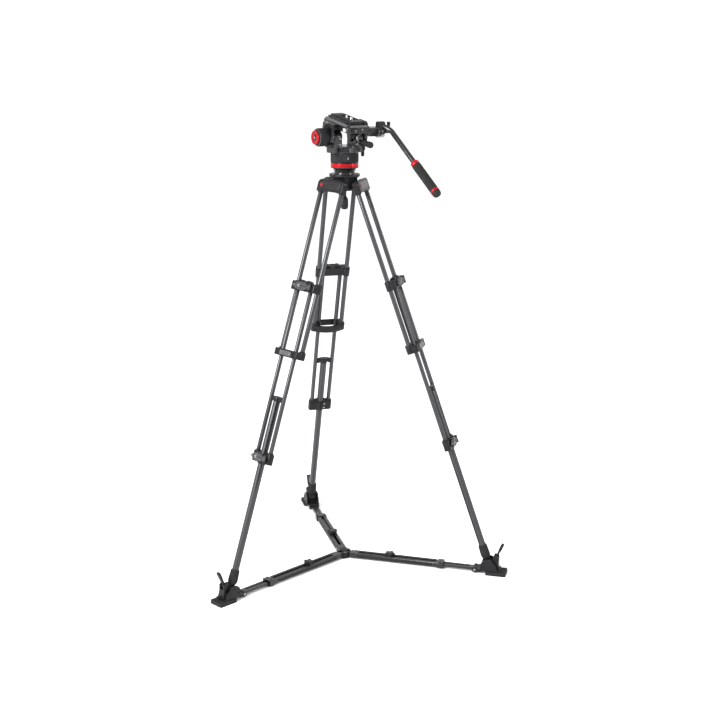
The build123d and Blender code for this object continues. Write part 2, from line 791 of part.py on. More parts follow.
def make_tilt_lock_lever():
    """Tilt lock on the right column's rear face: a paddle that widens to a thick rounded end."""
    with BuildPart() as lever:
        with BuildSketch(Plane.XZ.offset(31.4)):
            with Locations((55, 1600)):
                Circle(9)
            with Locations((84, 1590)):
                Circle(11.5)
            make_hull()
        extrude(amount=14)
        chamfer(lever.faces().sort_by(Axis.Y)[0].edges(), 2)
        with BuildSketch(Plane.XZ.offset(31)):
            with Locations((55, 1600)):
                Circle(5 + FIT_GAP)
        extrude(amount=11, mode=Mode.SUBTRACT)
    return lever.part


# ---------------------------------------------------------------- platform, in the tilt frame
def make_platform():
    """Platform with its plate rails, two ears and the stub axles that run in the columns."""
    length = PLATFORM_FRONT - PLATFORM_REAR
    centre = (PLATFORM_FRONT + PLATFORM_REAR) / 2
    with BuildPart() as platform:
        with BuildSketch(Plane.XY.offset(PLATFORM_LOW)):
            with Locations((0, centre)):
                RectangleRounded(2 * PLATFORM_HALF, length, 8)
        extrude(amount=PLATFORM_TOP - PLATFORM_LOW)
        chamfer(platform.faces().sort_by(Axis.Z)[-1].edges(), 8)
        fillet(platform.faces().sort_by(Axis.Z)[0].edges(), 3)
        for side in (-1, 1):
            with BuildSketch(Plane.XY.offset(PLATFORM_TOP - 1)):
                with Locations((side * 31, centre)):
                    Rectangle(6, length - 24)
            extrude(amount=8)
        for low in (-EAR_OUTER, EAR_INNER):
            with BuildSketch(Plane.YZ.offset(low)):
                Circle(EAR_R)
                with BuildLine():
                    Polyline((-33, 8), (33, 8), (30, PLATFORM_LOW + 20), (-30, PLATFORM_LOW + 20), (-33, 8))
                make_face()
            extrude(amount=EAR_OUTER - EAR_INNER)
        with BuildSketch(Plane.XY.offset(PLATFORM_LOW + 2)):
            Rectangle(2 * EAR_OUTER, 60)
        extrude(amount=18)
        for low in (-EAR_INNER - 1, COLUMN_INNER + 8):
            with BuildSketch(Plane.YZ.offset(low)):
                Circle(15)
            extrude(amount=EAR_INNER - COLUMN_INNER - 7)
        with BuildSketch(Plane.YZ.offset(-PLATFORM_HALF - 1)):
            with Locations((-78, 40)):
                RectangleRounded(21, 14, 4.5)
        extrude(amount=7, mode=Mode.SUBTRACT)
        with BuildSketch(Plane.XY.offset(ROSETTE_Z - 14)):
            with Locations((62, ROSETTE_Y + 2)):
                RectangleRounded(38, 26, 5)
        extrude(amount=30)
        with BuildSketch(Plane.YZ.offset(EAR_OUTER)):
            with Locations((ROSETTE_Y, ROSETTE_Z)):
                Circle(18)
        extrude(amount=8)
        with BuildSketch(Plane.YZ.offset(EAR_OUTER + 7)):
            with Locations((ROSETTE_Y, ROSETTE_Z)):
                Circle(5)
        extrude(amount=34)
    return platform.part


def make_platform_strips():
    """Light strips laid on the platform's bevels: both long sides and the rear edge."""
    length = PLATFORM_FRONT - PLATFORM_REAR - 26
    centre = (PLATFORM_FRONT + PLATFORM_REAR) / 2
    with BuildPart() as strips:
        for side in (-1, 1):
            slant = Plane(
                origin=(side * (PLATFORM_HALF - 4), centre, PLATFORM_TOP - 4),
                x_dir=(0, 1, 0),
                z_dir=(side, 0, 1),
            )
            with BuildSketch(slant):
                RectangleRounded(length, 10, 2)
            extrude(amount=1.4)
        rear = Plane(origin=(0, PLATFORM_REAR + 4, PLATFORM_TOP - 4), x_dir=(1, 0, 0), z_dir=(0, -1, 1))
        with BuildSketch(rear):
            RectangleRounded(2 * PLATFORM_HALF - 22, 8.4, 2)
        extrude(amount=1.4)
    return strips.part


def make_tilt_drag_dial():
    """Knurled dial on the tilt axis."""
    with BuildPart() as dial:
        with BuildSketch(Plane.YZ.offset(-DIAL_OUTER)):
            Circle(DIAL_R - 3)
        extrude(amount=DIAL_OUTER - EAR_OUTER - 0.4)
        with BuildSketch(Plane.YZ.offset(-DIAL_OUTER + 5)):
            Circle(DIAL_R)
            with PolarLocations(DIAL_R + 0.8, 36):
                Circle(2, mode=Mode.SUBTRACT)
        extrude(amount=26)
        fillet(dial.faces().sort_by(Axis.X)[0].edges(), 2)
    return dial.part


def make_dial_button():
    """Round selector in the dial's face."""
    with BuildPart() as button:
        with BuildSketch(Plane.YZ.offset(-DIAL_OUTER - 6.4)):
            Circle(25)
        extrude(amount=6)
        fillet(button.faces().sort_by(Axis.X)[0].edges(), 2.5)
        with BuildSketch(Plane.YZ.offset(-DIAL_OUTER - 7)):
            Circle(17)
            Circle(9, mode=Mode.SUBTRACT)
        extrude(amount=2.2, mode=Mode.SUBTRACT)
    return button.part


def make_camera_plate():
    """Sliding camera plate with a raised front lip and a screw slot."""
    length = PLATE_FRONT - PLATE_REAR
    centre = (PLATE_FRONT + PLATE_REAR) / 2
    with BuildPart() as plate:
        with BuildSketch(Plane.XY.offset(PLATFORM_TOP + SLIDE_GAP)):
            with Locations((0, centre)):
                RectangleRounded(2 * PLATE_HALF, length, 5)
        extrude(amount=PLATE_TOP - PLATFORM_TOP - SLIDE_GAP)
        chamfer(plate.faces().sort_by(Axis.Z)[-1].edges(), 1.5)
        with BuildSketch(Plane.XY.offset(PLATE_TOP - 6)):
            with Locations((0, -8)):
                SlotOverall(104, 16, rotation=90)
        extrude(amount=7, mode=Mode.SUBTRACT)
        with BuildSketch(Plane.XY.offset(PLATFORM_TOP)):
            with Locations((0, -8)):
                SlotOverall(98, 10, rotation=90)
        extrude(amount=14, mode=Mode.SUBTRACT)
    return plate.part


def make_camera_screw(y, stud):
    """Camera screw standing in the plate's slot, with a flat head and a screwdriver slot."""
    with BuildPart() as screw:
        with BuildSketch(Plane.XY.offset(PLATE_TOP - 6)):
            with Locations((0, y)):
                Circle(7.4)
        extrude(amount=4)
        with BuildSketch(Plane.XY.offset(PLATE_TOP - 2)):
            with Locations((0, y)):
                Circle(stud)
        extrude(amount=8)
        with BuildSketch(Plane.XY.offset(PLATE_TOP - 6)):
            with Locations((0, y)):
                Rectangle(20, 1.6)
        extrude(amount=1.6, mode=Mode.SUBTRACT)
    return screw.part


def make_plate_lock_lever():
    """Flat lever beside the right rail that clamps the plate."""
    with BuildPart() as lever:
        with BuildSketch(Plane.XY.offset(PLATFORM_TOP + 1)):
            with Locations((41, -70)):
                Circle(5.5)
            with Locations((41, -50)):
                SlotOverall(46, 8, rotation=90)
        extrude(amount=8)
        fillet(lever.faces().sort_by(Axis.Z)[-1].edges(), 1.5)
    return lever.part


def make_release_button():
    """Plate release button at the platform's rear left."""
    with BuildPart() as button:
        with BuildSketch(Plane.YZ.offset(-PLATFORM_HALF - 3.5)):
            with Locations((-78, 40)):
                RectangleRounded(20, 13, 4)
        extrude(amount=7)
        fillet(button.faces().sort_by(Axis.X)[0].edges(), 1.5)
    return button.part


# ---------------------------------------------------------------- pan bar
def to_head(y, z):
    """A point of the tilt frame's YZ plane, in the head's frame."""
    t = radians(TILT_REST)
    return y * cos(t) - z * sin(t), TILT_Z + y * sin(t) + z * cos(t)


def bar_points():
    """The bar's corner points in the head's frame, from the clamp to the end of the grip."""
    y, z = to_head(ROSETTE_Y, ROSETTE_Z)
    return [(98, y + 4, z + 24), (120, y - 34, z + 4), (146, -386, z - 196)]


def make_bar_clamp():
    """Rosette clamp on the bar's end."""
    y, z = to_head(ROSETTE_Y, ROSETTE_Z)
    with BuildPart() as clamp:
        with BuildSketch(Plane.YZ.offset(EAR_OUTER + 8.4)):
            with Locations((y, z)):
                Circle(18)
        extrude(amount=8)
        with BuildSketch(Plane.YZ.offset(EAR_OUTER + 10)):
            with Locations((y + 2, z + 12)):
                RectangleRounded(30, 46, 10)
        extrude(amount=23)
        with BuildSketch(Plane.YZ.offset(EAR_OUTER + 8)):
            with Locations((y, z)):
                Circle(5 + FIT_GAP)
        extrude(amount=26, mode=Mode.SUBTRACT)
        start, bend = bar_points()[:2]
        along = Vector(*bend) - Vector(*start)
        with BuildSketch(Plane(origin=Vector(*start) - along * 0.1, z_dir=along)):
            Circle(BAR_R)
        extrude(amount=40, mode=Mode.SUBTRACT)
    return clamp.part


def make_bar_tube():
    """Bent bar from the clamp to the grip."""
    start, bend, end = [Vector(*p) for p in bar_points()]
    stop = bend + (end - bend) * 0.93
    with BuildPart() as tube:
        with BuildLine():
            FilletPolyline(start, bend, stop, radius=40)
        with BuildSketch(Plane(origin=start, z_dir=bend - start)):
            Circle(BAR_R)
        sweep()
    return tube.part


def along_bar(fraction):
    """A plane across the bar's long run, at a fraction of its length."""
    bend, end = [Vector(*p) for p in bar_points()[1:]]
    return Plane(origin=bend + (end - bend) * fraction, z_dir=end - bend)


def make_grip():
    """Rubber grip with a ribbed barrel and a closed end."""
    length = (Vector(*bar_points()[2]) - Vector(*bar_points()[1])).length
    with BuildPart() as grip:
        with BuildSketch(along_bar(0.55)):
            Circle(GRIP_R - 1)
        extrude(amount=length * 0.45)
        for step in range(14):
            with BuildSketch(along_bar(0.56 + step * 0.026)):
                Circle(GRIP_R)
            extrude(amount=length * 0.015)
        with BuildSketch(along_bar(0.54)):
            Circle(BAR_R)
        extrude(amount=length * 0.39, mode=Mode.SUBTRACT)
    return grip.part


def make_grip_rings():
    """Two coloured rings, one at each end of the grip."""
    length = (Vector(*bar_points()[2]) - Vector(*bar_points()[1])).length
    with BuildPart() as rings:
        with BuildSketch(along_bar(0.525)):
            Circle(GRIP_R)
            Circle(BAR_R, mode=Mode.SUBTRACT)
        extrude(amount=length * 0.022)
        with BuildSketch(along_bar(0.93)):
            Circle(GRIP_R + 1)
            Circle(GRIP_R - 1, mode=Mode.SUBTRACT)
        extrude(amount=length * 0.02)
    return rings.part


def make_bar_knob():
    """Clamping handle on the rosette's stud: a hub with an upright tapered grip at its end."""
    y, z = to_head(ROSETTE_Y, ROSETTE_Z)
    with BuildPart() as knob:
        with BuildSketch(Plane.YZ.offset(EAR_OUTER + 33.4)):
            with Locations((y, z)):
                Circle(8)
        extrude(amount=28)
        with BuildSketch(Plane.XY.offset(z)):
            with Locations((EAR_OUTER + 54, y)):
                Circle(5)
        with BuildSketch(Plane.XY.offset(z + 33)):
            with Locations((EAR_OUTER + 54, y)):
                Circle(6.4)
        loft()
        fillet(knob.faces().sort_by(Axis.Z)[-1].edges(), 2.5)
        with BuildSketch(Plane.YZ.offset(EAR_OUTER + 33)):
            with Locations((y, z)):
                Circle(5 + FIT_GAP)
        extrude(amount=8.4, mode=Mode.SUBTRACT)
    return knob.part


# ---------------------------------------------------------------- build
save(make_crown(), "crown_casting")
save(make_hinge_bolts(), "leg_hinge_bolts")
save(make_half_ball(), "half_ball")
save(make_clamp_washer(), "bowl_clamp_washer")
save(make_bowl_knob(), "bowl_knob")
save(make_hub(), "spreader_hub")

for leg, azimuth in LEG_AZIMUTHS.items():
    leg_frame = leg_plane(azimuth)
    arm_frame = arm_plane(azimuth)
    upper_tubes = tube_pair(UPPER_HALF, 0, UPPER_TUBE_R, -TUBE_TOP_S, -BRIDGE_S - 13)
    middle_tubes = tube_pair(MIDDLE_HALF, STAGE_OFFSET, MIDDLE_TUBE_R, -CARRIAGE_S + 11, -CLAMP_S - 15)
    save(upper_tubes, f"{leg}_upper_tubes", leg_frame)
    save(Compound([make_shoulder(), make_bridge()]), f"{leg}_upper_castings", leg_frame)
    save(middle_tubes, f"{leg}_middle_tubes", leg_frame)
    save(Compound([make_carriage(), make_clamp()]), f"{leg}_middle_castings", leg_frame)
    save(make_lens_lever(-42, 34, -CARRIAGE_S, 88), f"{leg}_upper_lever", leg_frame)
    save(make_lens_lever(-33, 37, -CLAMP_S, 74), f"{leg}_lower_lever", leg_frame)
    save(Compound([make_lower_tube(), make_yoke(), make_foot_cup()]), f"{leg}_lower_stage", leg_frame)
    save(Compound([make_pad(), make_bracket(), make_inner_bar()]), f"{leg}_spreader_foot", arm_frame)
    save(make_foot_lever(), f"{leg}_foot_lever", arm_frame)
    save(make_slot_knob(), f"{leg}_slot_knob", arm_frame)
    save(make_channel(2.5 if leg == "back" else 2.5 + HUB_GAP), f"{leg}_spreader_channel", arm_frame)

for name, make in {
    "red_ring": make_red_ring,
    "pan_drag_ring": make_pan_drag_ring,
    "head_body": make_head_body,
    "bubble_level": make_bubble_level,
    "pan_lock_lever": make_pan_lock_lever,
    "tilt_lock_lever": make_tilt_lock_lever,
    "pan_bar_clamp": make_bar_clamp,
    "pan_bar_tube": make_bar_tube,
    "pan_bar_grip": make_grip,
    "grip_rings": make_grip_rings,
    "bar_clamp_knob": make_bar_knob,
}.items():
    save(make(), name, head_plane())

for name, make in {
    "tilt_platform": make_platform,
    "platform_strips": make_platform_strips,
    "tilt_drag_dial": make_tilt_drag_dial,
    "dial_selector": make_dial_button,
    "camera_plate": make_camera_plate,
    "plate_lock_lever": make_plate_lock_lever,
    "plate_release_button": make_release_button,
}.items():
    save(make(), name, tilt_plane())

save(make_camera_screw(SMALL_SCREW_Y, SMALL_STUD_R), "camera_screw_small", tilt_plane())
save(make_camera_screw(LARGE_SCREW_Y, LARGE_STUD_R), "camera_screw_large", tilt_plane())
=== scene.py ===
from math import atan2, cos, pi, radians, sin

import bmesh
import bpy
from mathutils import Matrix, Vector


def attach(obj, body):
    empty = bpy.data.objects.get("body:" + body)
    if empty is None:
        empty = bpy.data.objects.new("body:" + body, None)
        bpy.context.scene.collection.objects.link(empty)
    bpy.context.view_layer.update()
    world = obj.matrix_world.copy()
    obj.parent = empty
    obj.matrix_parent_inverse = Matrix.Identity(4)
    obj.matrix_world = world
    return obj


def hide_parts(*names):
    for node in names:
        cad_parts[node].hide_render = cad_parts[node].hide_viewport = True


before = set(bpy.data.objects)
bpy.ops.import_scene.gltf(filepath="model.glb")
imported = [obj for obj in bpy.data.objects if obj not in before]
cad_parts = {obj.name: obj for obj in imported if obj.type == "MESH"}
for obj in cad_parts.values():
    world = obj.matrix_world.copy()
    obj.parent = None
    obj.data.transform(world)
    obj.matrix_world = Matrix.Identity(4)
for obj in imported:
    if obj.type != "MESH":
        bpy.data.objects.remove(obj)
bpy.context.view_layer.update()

MM = 0.001
LEGS = {"back": 90, "left": 210, "right": 330}
SLOPE = radians(19.416)
PAN_REST = radians(16)
TILT_REST = radians(8)


# ---------------------------------------------------------------- frames (metres)
def basis(x, y, z, origin):
    """A placement from three axes and an origin in millimetres."""
    m = Matrix((x, y, z)).transposed().to_4x4()
    m.translation = Vector(origin) * MM
    return m


def leg_frame(azimuth):
    """Origin on the leg's hinge, X along the hinge, Y outward, Z up the leg."""
    a = radians(azimuth)
    radial = Vector((cos(a), sin(a), 0))
    across = Vector((sin(a), -cos(a), 0))
    up = Vector((0, 0, 1)) * cos(SLOPE) - radial * sin(SLOPE)
    return basis(across, up.cross(across), up, radial * 58 + Vector((0, 0, 1449)))


def arm_frame(azimuth):
    """Origin on the floor at the centre, X outward along the arm."""
    a = radians(azimuth)
    return basis(Vector((cos(a), sin(a), 0)), Vector((-sin(a), cos(a), 0)), Vector((0, 0, 1)), (0, 0, 0))


HEAD = Matrix.Rotation(PAN_REST, 4, "Z")
TILT = HEAD @ Matrix.Translation((0, 0, 1.622)) @ Matrix.Rotation(TILT_REST, 4, "X")


# ---------------------------------------------------------------- materials
def tree_of(name):
    material = bpy.data.materials.new(name)
    material.use_nodes = True
    nodes = material.node_tree.nodes
    return material, nodes, material.node_tree.links, nodes["Principled BSDF"]


def math_node(nodes, links, operation, *values):
    """A math node fed with sockets or plain numbers; gives its output."""
    node = nodes.new("ShaderNodeMath")
    node.operation = operation
    for i, value in enumerate(values):
        if isinstance(value, (int, float)):
            node.inputs[i].default_value = value
        else:
            links.new(value, node.inputs[i])
    return node.outputs[0]


def noise(nodes, links, vector, scale, detail=4, roughness=0.55):
    node = nodes.new("ShaderNodeTexNoise")
    node.inputs["Scale"].default_value = scale
    node.inputs["Detail"].default_value = detail
    node.inputs["Roughness"].default_value = roughness
    links.new(vector, node.inputs["Vector"])
    return node.outputs["Fac"]


def ramp(nodes, links, value, low, high, low_colour, high_colour):
    node = nodes.new("ShaderNodeValToRGB")
    node.color_ramp.elements[0].position = low
    node.color_ramp.elements[1].position = high
    node.color_ramp.elements[0].color = (*low_colour, 1)
    node.color_ramp.elements[1].color = (*high_colour, 1)
    links.new(value, node.inputs["Fac"])
    return node.outputs["Color"]


def mix_colour(nodes, links, factor, a, b):
    node = nodes.new("ShaderNodeMix")
    node.data_type = "RGBA"
    for socket, value in ((node.inputs[0], factor), (node.inputs[6], a), (node.inputs[7], b)):
        if isinstance(value, tuple):
            socket.default_value = (*value, 1)
        elif isinstance(value, (int, float)):
            socket.default_value = value
        else:
            links.new(value, socket)
    return node.outputs[2]


def bump(nodes, links, shader, height, distance, strength=1.0):
    node = nodes.new("ShaderNodeBump")
    node.inputs["Strength"].default_value = strength
    node.inputs["Distance"].default_value = distance
    links.new(height, node.inputs["Height"])
    links.new(node.outputs["Normal"], shader.inputs["Normal"])


def coated(name, colour, rough, metallic=0.0, grain=2600, depth=0.00006, spread=0.09, scuff=0.35,
           scuff_colour=None, specular=0.16):
    """Moulded, painted or cast surface: fine grain in the bump, blotches in the gloss, and faint scuffs."""
    material, nodes, links, shader = tree_of(name)
    where = nodes.new("ShaderNodeTexCoord").outputs["Object"]
    fine = noise(nodes, links, where, grain, 3)
    blotch = noise(nodes, links, where, 34, 5)
    scratch = noise(nodes, links, where, 240, 7, 0.75)
    lighter = scuff_colour or tuple(min(1, c * 1.9 + 0.03) for c in colour)
    darker = tuple(c * 0.72 for c in colour)
    body = ramp(nodes, links, blotch, 0.3, 0.72, darker, colour)
    worn = math_node(nodes, links, "MULTIPLY", blotch, scratch)
    mask = nodes.new("ShaderNodeMapRange")
    mask.inputs["From Min"].default_value = 0.3
    mask.inputs["From Max"].default_value = 0.44
    mask.inputs["To Max"].default_value = scuff
    links.new(worn, mask.inputs["Value"])
    links.new(mix_colour(nodes, links, mask.outputs["Result"], body, lighter), shader.inputs["Base Color"])
    gloss = nodes.new("ShaderNodeMapRange")
    gloss.inputs["From Min"].default_value = 0.3
    gloss.inputs["From Max"].default_value = 0.7
    gloss.inputs["To Min"].default_value = max(0.05, rough - spread)
    gloss.inputs["To Max"].default_value = min(1, rough + spread)
    links.new(blotch, gloss.inputs["Value"])
    links.new(gloss.outputs["Result"], shader.inputs["Roughness"])
    shader.inputs["Metallic"].default_value = metallic
    shader.inputs["Specular IOR Level"].default_value = specular
    bump(nodes, links, shader, fine, depth)
    return material


def carbon(name, placement, half, y, radius):
    """Twill carbon cloth under lacquer, wound on tubes that run along the placement's Z."""
    material, nodes, links, shader = tree_of(name)
    where = nodes.new("ShaderNodeTexCoord").outputs["Object"]
    local = nodes.new("ShaderNodeMapping")
    local.vector_type = "TEXTURE"
    local.inputs["Location"].default_value = placement.translation
    local.inputs["Rotation"].default_value = placement.to_euler()
    links.new(where, local.inputs["Vector"])
    split = nodes.new("ShaderNodeSeparateXYZ")
    links.new(local.outputs["Vector"], split.inputs["Vector"])
    side = math_node(nodes, links, "SUBTRACT", math_node(nodes, links, "ABSOLUTE", split.outputs["X"]),
                     half * MM)
    out = math_node(nodes, links, "SUBTRACT", split.outputs["Y"], y * MM)
    turn = math_node(nodes, links, "ARCTAN2", out, side)
    cell = 0.0021
    count = round(2 * pi * radius * MM / cell / 4) * 4
    around = math_node(nodes, links, "FLOOR", math_node(nodes, links, "MULTIPLY", turn, count / (2 * pi)))
    along = math_node(nodes, links, "FLOOR", math_node(nodes, links, "DIVIDE", split.outputs["Z"], cell))
    step = math_node(nodes, links, "FLOORED_MODULO", math_node(nodes, links, "ADD", around, along), 4.0)
    over = math_node(nodes, links, "LESS_THAN", step, 1.5)
    fibre = noise(nodes, links, local.outputs["Vector"], 5200, 2)
    tone = noise(nodes, links, where, 18, 4)
    warp = ramp(nodes, links, fibre, 0.3, 0.7, (0.014, 0.0145, 0.016), (0.042, 0.043, 0.047))
    weft = ramp(nodes, links, fibre, 0.3, 0.7, (0.006, 0.006, 0.007), (0.02, 0.021, 0.023))
    cloth = mix_colour(nodes, links, over, weft, warp)
    links.new(mix_colour(nodes, links, tone, cloth, (0.022, 0.0225, 0.025)), shader.inputs["Base Color"])
    links.new(math_node(nodes, links, "MULTIPLY_ADD", over, -0.1, 0.42), shader.inputs["Roughness"])
    shader.inputs["Metallic"].default_value = 0.25
    shader.inputs["Specular IOR Level"].default_value = 0.35
    shader.inputs["Coat Weight"].default_value = 0.3
    shader.inputs["Coat Roughness"].default_value = 0.22
    weave = math_node(nodes, links, "ADD", math_node(nodes, links, "MULTIPLY", over, 0.5), fibre)
    bump(nodes, links, shader, weave, 0.00005, 0.7)
    return material


def brushed(name, colour, rough, axis="X", metallic=1.0):
    """Metal with straight brush lines across one axis."""
    material, nodes, links, shader = tree_of(name)
    where = nodes.new("ShaderNodeTexCoord").outputs["Object"]
    stretch = nodes.new("ShaderNodeMapping")
    stretch.inputs["Scale"].default_value = (30, 4000, 4000) if axis == "X" else (4000, 4000, 30)
    links.new(where, stretch.inputs["Vector"])
    lines = noise(nodes, links, stretch.outputs["Vector"], 1, 4)
    blotch = noise(nodes, links, where, 60, 4)
    dark = tuple(c * 0.7 for c in colour)
    links.new(ramp(nodes, links, lines, 0.3, 0.7, dark, colour), shader.inputs["Base Color"])
    links.new(math_node(nodes, links, "MULTIPLY_ADD", blotch, 0.25, rough - 0.1),
              shader.inputs["Roughness"])
    shader.inputs["Metallic"].default_value = metallic
    bump(nodes, links, shader, lines, 0.00003)
    return material


def speckled_floor():
    material, nodes, links, shader = tree_of("floor_paint")
    where = nodes.new("ShaderNodeTexCoord").outputs["Object"]
    patch = noise(nodes, links, where, 1.1, 3)
    links.new(ramp(nodes, links, patch, 0.2, 0.8, (0.91, 0.91, 0.91), (0.94, 0.94, 0.94)),
              shader.inputs["Base Color"])
    shader.inputs["Roughness"].default_value = 0.75
    return material


BLACK = coated("black_coating", (0.009, 0.009, 0.01), 0.36, scuff=0.18)
SATIN = coated("satin_black", (0.007, 0.007, 0.008), 0.24, grain=900, depth=0.00002, scuff=0.12,
               specular=0.4)
PLASTIC = coated("moulded_black", (0.011, 0.011, 0.012), 0.5, depth=0.00009, scuff=0.18)
GREY = coated("lever_grey", (0.045, 0.046, 0.049), 0.42, depth=0.00005)
LIGHT = coated("light_grey", (0.34, 0.345, 0.35), 0.35, grain=1400, depth=0.00003,
               scuff_colour=(0.3, 0.3, 0.31))
ANODISED = coated("anodised_black", (0.012, 0.012, 0.013), 0.4, metallic=0.2, grain=3600, depth=0.00002,
                  scuff=0.15)
RED = coated("red_anodised", (0.4, 0.007, 0.012), 0.26, metallic=0.45, grain=1800, depth=0.00002,
             scuff=0.15)
RED_DARK = coated("red_plastic", (0.24, 0.01, 0.015), 0.35, grain=1500, depth=0.00003, scuff=0.2)
RUBBER = coated("rubber", (0.014, 0.014, 0.014), 0.72, grain=1500, depth=0.00012,
                scuff_colour=(0.07, 0.068, 0.064))
STEEL = brushed("turned_steel", (0.4, 0.4, 0.41), 0.3)
PLATE = brushed("brushed_plate", (0.17, 0.173, 0.178), 0.34)
LEVEL = coated("level_fluid", (0.06, 0.075, 0.025), 0.12, grain=200, depth=0.00001, scuff=0.05,
               specular=0.5)


# ---------------------------------------------------------------- materials on the CAD parts
def dress(node, *materials, pick=None):
    """Put materials on a CAD part; pick chooses one for each face from its centre, in metres."""
    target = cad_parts[node]
    target.data.materials.clear()
    for material in materials:
        target.data.materials.append(material)
    if pick:
        for face in target.data.polygons:
            face.material_index = pick(face.center)
    weld = target.modifiers.new("weld", "WELD")
    weld.merge_threshold = 0.00001
    edge = target.modifiers.new("edge", "BEVEL")
    edge.width = 0.0006
    edge.segments = 2
    edge.limit_method = "ANGLE"
    edge.angle_limit = radians(40)
    edge.harden_normals = True
    edge.use_clamp_overlap = True


for leg, azimuth in LEGS.items():
    along = leg_frame(azimuth)
    into = along.inverted()
    upper = carbon(f"carbon_{leg}_upper", along, 54, 0, 8.5)
    middle = carbon(f"carbon_{leg}_middle", along, 34, 13, 8)
    lower = carbon(f"carbon_{leg}_lower", along, 0, 13, 13)
    dress(f"{leg}_upper_tubes", upper)
    dress(f"{leg}_middle_tubes", middle)
    dress(
        f"{leg}_lower_stage", lower, BLACK, RUBBER,
        pick=lambda c, into=into: 1 if (into @ c).z > -0.812 and (into @ c).z < -0.7 and
        ((into @ c).xy - Vector((0, 0.013))).length > 0.0132 else 2 if (into @ c).z < -1.4247 and
        (((into @ c).xy - Vector((0, 0.013))).length > 0.0132 or (into @ c).z < -1.4505) else 0,
    )
    dress(f"{leg}_upper_castings", BLACK)
    dress(f"{leg}_middle_castings", BLACK)
    dress(f"{leg}_upper_lever", GREY)
    dress(f"{leg}_lower_lever", GREY)
    dress(
        f"{leg}_spreader_foot", RUBBER, BLACK, SATIN,
        pick=lambda c: 0 if c.z < 0.0141 and c.xy.length > 0.55 else 2 if c.xy.length < 0.509 else 1,
    )
    dress(f"{leg}_foot_lever", PLASTIC)
    dress(f"{leg}_slot_knob", PLASTIC)
    dress(f"{leg}_spreader_channel", SATIN)

for node, material in {
    "crown_casting": BLACK,
    "leg_hinge_bolts": STEEL,
    "half_ball": SATIN,
    "bowl_clamp_washer": BLACK,
    "bowl_knob": PLASTIC,
    "spreader_hub": BLACK,
    "red_ring": RED,
    "pan_drag_ring": PLASTIC,
    "head_body": SATIN,
    "bubble_level": GREY,
    "pan_lock_lever": PLASTIC,
    "tilt_lock_lever": PLASTIC,
    "pan_bar_clamp": PLASTIC,
    "pan_bar_tube": SATIN,
    "pan_bar_grip": RUBBER,
    "grip_rings": RED,
    "bar_clamp_knob": PLASTIC,
    "tilt_platform": SATIN,
    "platform_strips": PLATE,
    "tilt_drag_dial": PLASTIC,
    "dial_selector": RED_DARK,
    "camera_plate": ANODISED,
    "camera_screw_small": STEEL,
    "camera_screw_large": STEEL,
    "plate_lock_lever": PLASTIC,
    "plate_release_button": LIGHT,
}.items():
    dress(node, material)


# ---------------------------------------------------------------- mesh kit (millimetres in, metres out)
OUTWARD = (Vector((-1, 0, 0)), Vector((0, 0, 1)), Vector((0, 1, 0)))
INWARD = (Vector((1, 0, 0)), Vector((0, 0, 1)), Vector((0, -1, 0)))
ALONG_X = (Vector((0, 1, 0)), Vector((0, 0, 1)), Vector((1, 0, 0)))
AGAINST_X = (Vector((0, -1, 0)), Vector((0, 0, 1)), Vector((-1, 0, 0)))
UPRIGHT = (Vector((1, 0, 0)), Vector((0, 1, 0)), Vector((0, 0, 1)))


def at(placement, axes, origin):
    """A placement inside another: its three axes and its origin in millimetres."""
    return placement @ basis(*axes, origin)


def put(name, bm, placement, body, slot, *materials, bevel=0.0, pick=None):
    """Turn a bmesh in millimetres into a smooth-shaded piece that rides on a body."""
    bmesh.ops.remove_doubles(bm, verts=bm.verts, dist=0.0005)
    bmesh.ops.recalc_face_normals(bm, faces=bm.faces)
    bmesh.ops.scale(bm, vec=(MM, MM, MM), verts=bm.verts)
    mesh = bpy.data.meshes.new(name)
    bm.to_mesh(mesh)
    bm.free()
    for material in materials:
        mesh.materials.append(material)
    for face in mesh.polygons:
        face.use_smooth = True
        if pick:
            face.material_index = pick(face.center / MM)
    piece = bpy.data.objects.new(name, mesh)
    piece.matrix_world = placement
    bpy.context.scene.collection.objects.link(piece)
    if bevel:
        edge = piece.modifiers.new("edge", "BEVEL")
        edge.width = bevel * MM
        edge.segments = 3
        edge.limit_method = "ANGLE"
        edge.angle_limit = radians(35)
        edge.harden_normals = True
    else:
        mesh.set_sharp_from_angle(angle=radians(35))
    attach(piece, body)
    return piece


def lathe(profile, steps=96, ripple=None):
    """Revolve (radius, height) points about Z; ripple(angle, height) adds to the radius."""
    bm = bmesh.new()
    rings = []
    for radius, height in profile:
        ring = []
        for i in range(steps):
            angle = 2 * pi * i / steps
            r = radius + (ripple(angle, height) if ripple and radius > 0 else 0)
            ring.append(bm.verts.new((r * cos(angle), r * sin(angle), height)))
        rings.append(ring)
    for low, high in zip(rings, rings[1:]):
        for i in range(steps):
            j = (i + 1) % steps
            bm.faces.new((low[i], low[j], high[j], high[i]))
    for ring in (rings[0], rings[-1]):
        if (ring[0].co.xy - ring[steps // 2].co.xy).length > 0.01:
            bm.faces.new(ring)
    return bm


def slab(outline, low, high, taper=0.0):
    """An outline drawn out along Z, its top edge pulled in by a share of its size."""
    bm = bmesh.new()
    centre = Vector((sum(p[0] for p in outline), sum(p[1] for p in outline))) / len(outline)
    base = [bm.verts.new((x, y, low)) for x, y in outline]
    top = []
    for x, y in outline:
        p = centre + (Vector((x, y)) - centre) * (1 - taper)
        top.append(bm.verts.new((p.x, p.y, high)))
    bm.faces.new(base)
    bm.faces.new(top)
    for i in range(len(outline)):
        j = (i + 1) % len(outline)
        bm.faces.new((base[i], base[j], top[j], top[i]))
    return bm


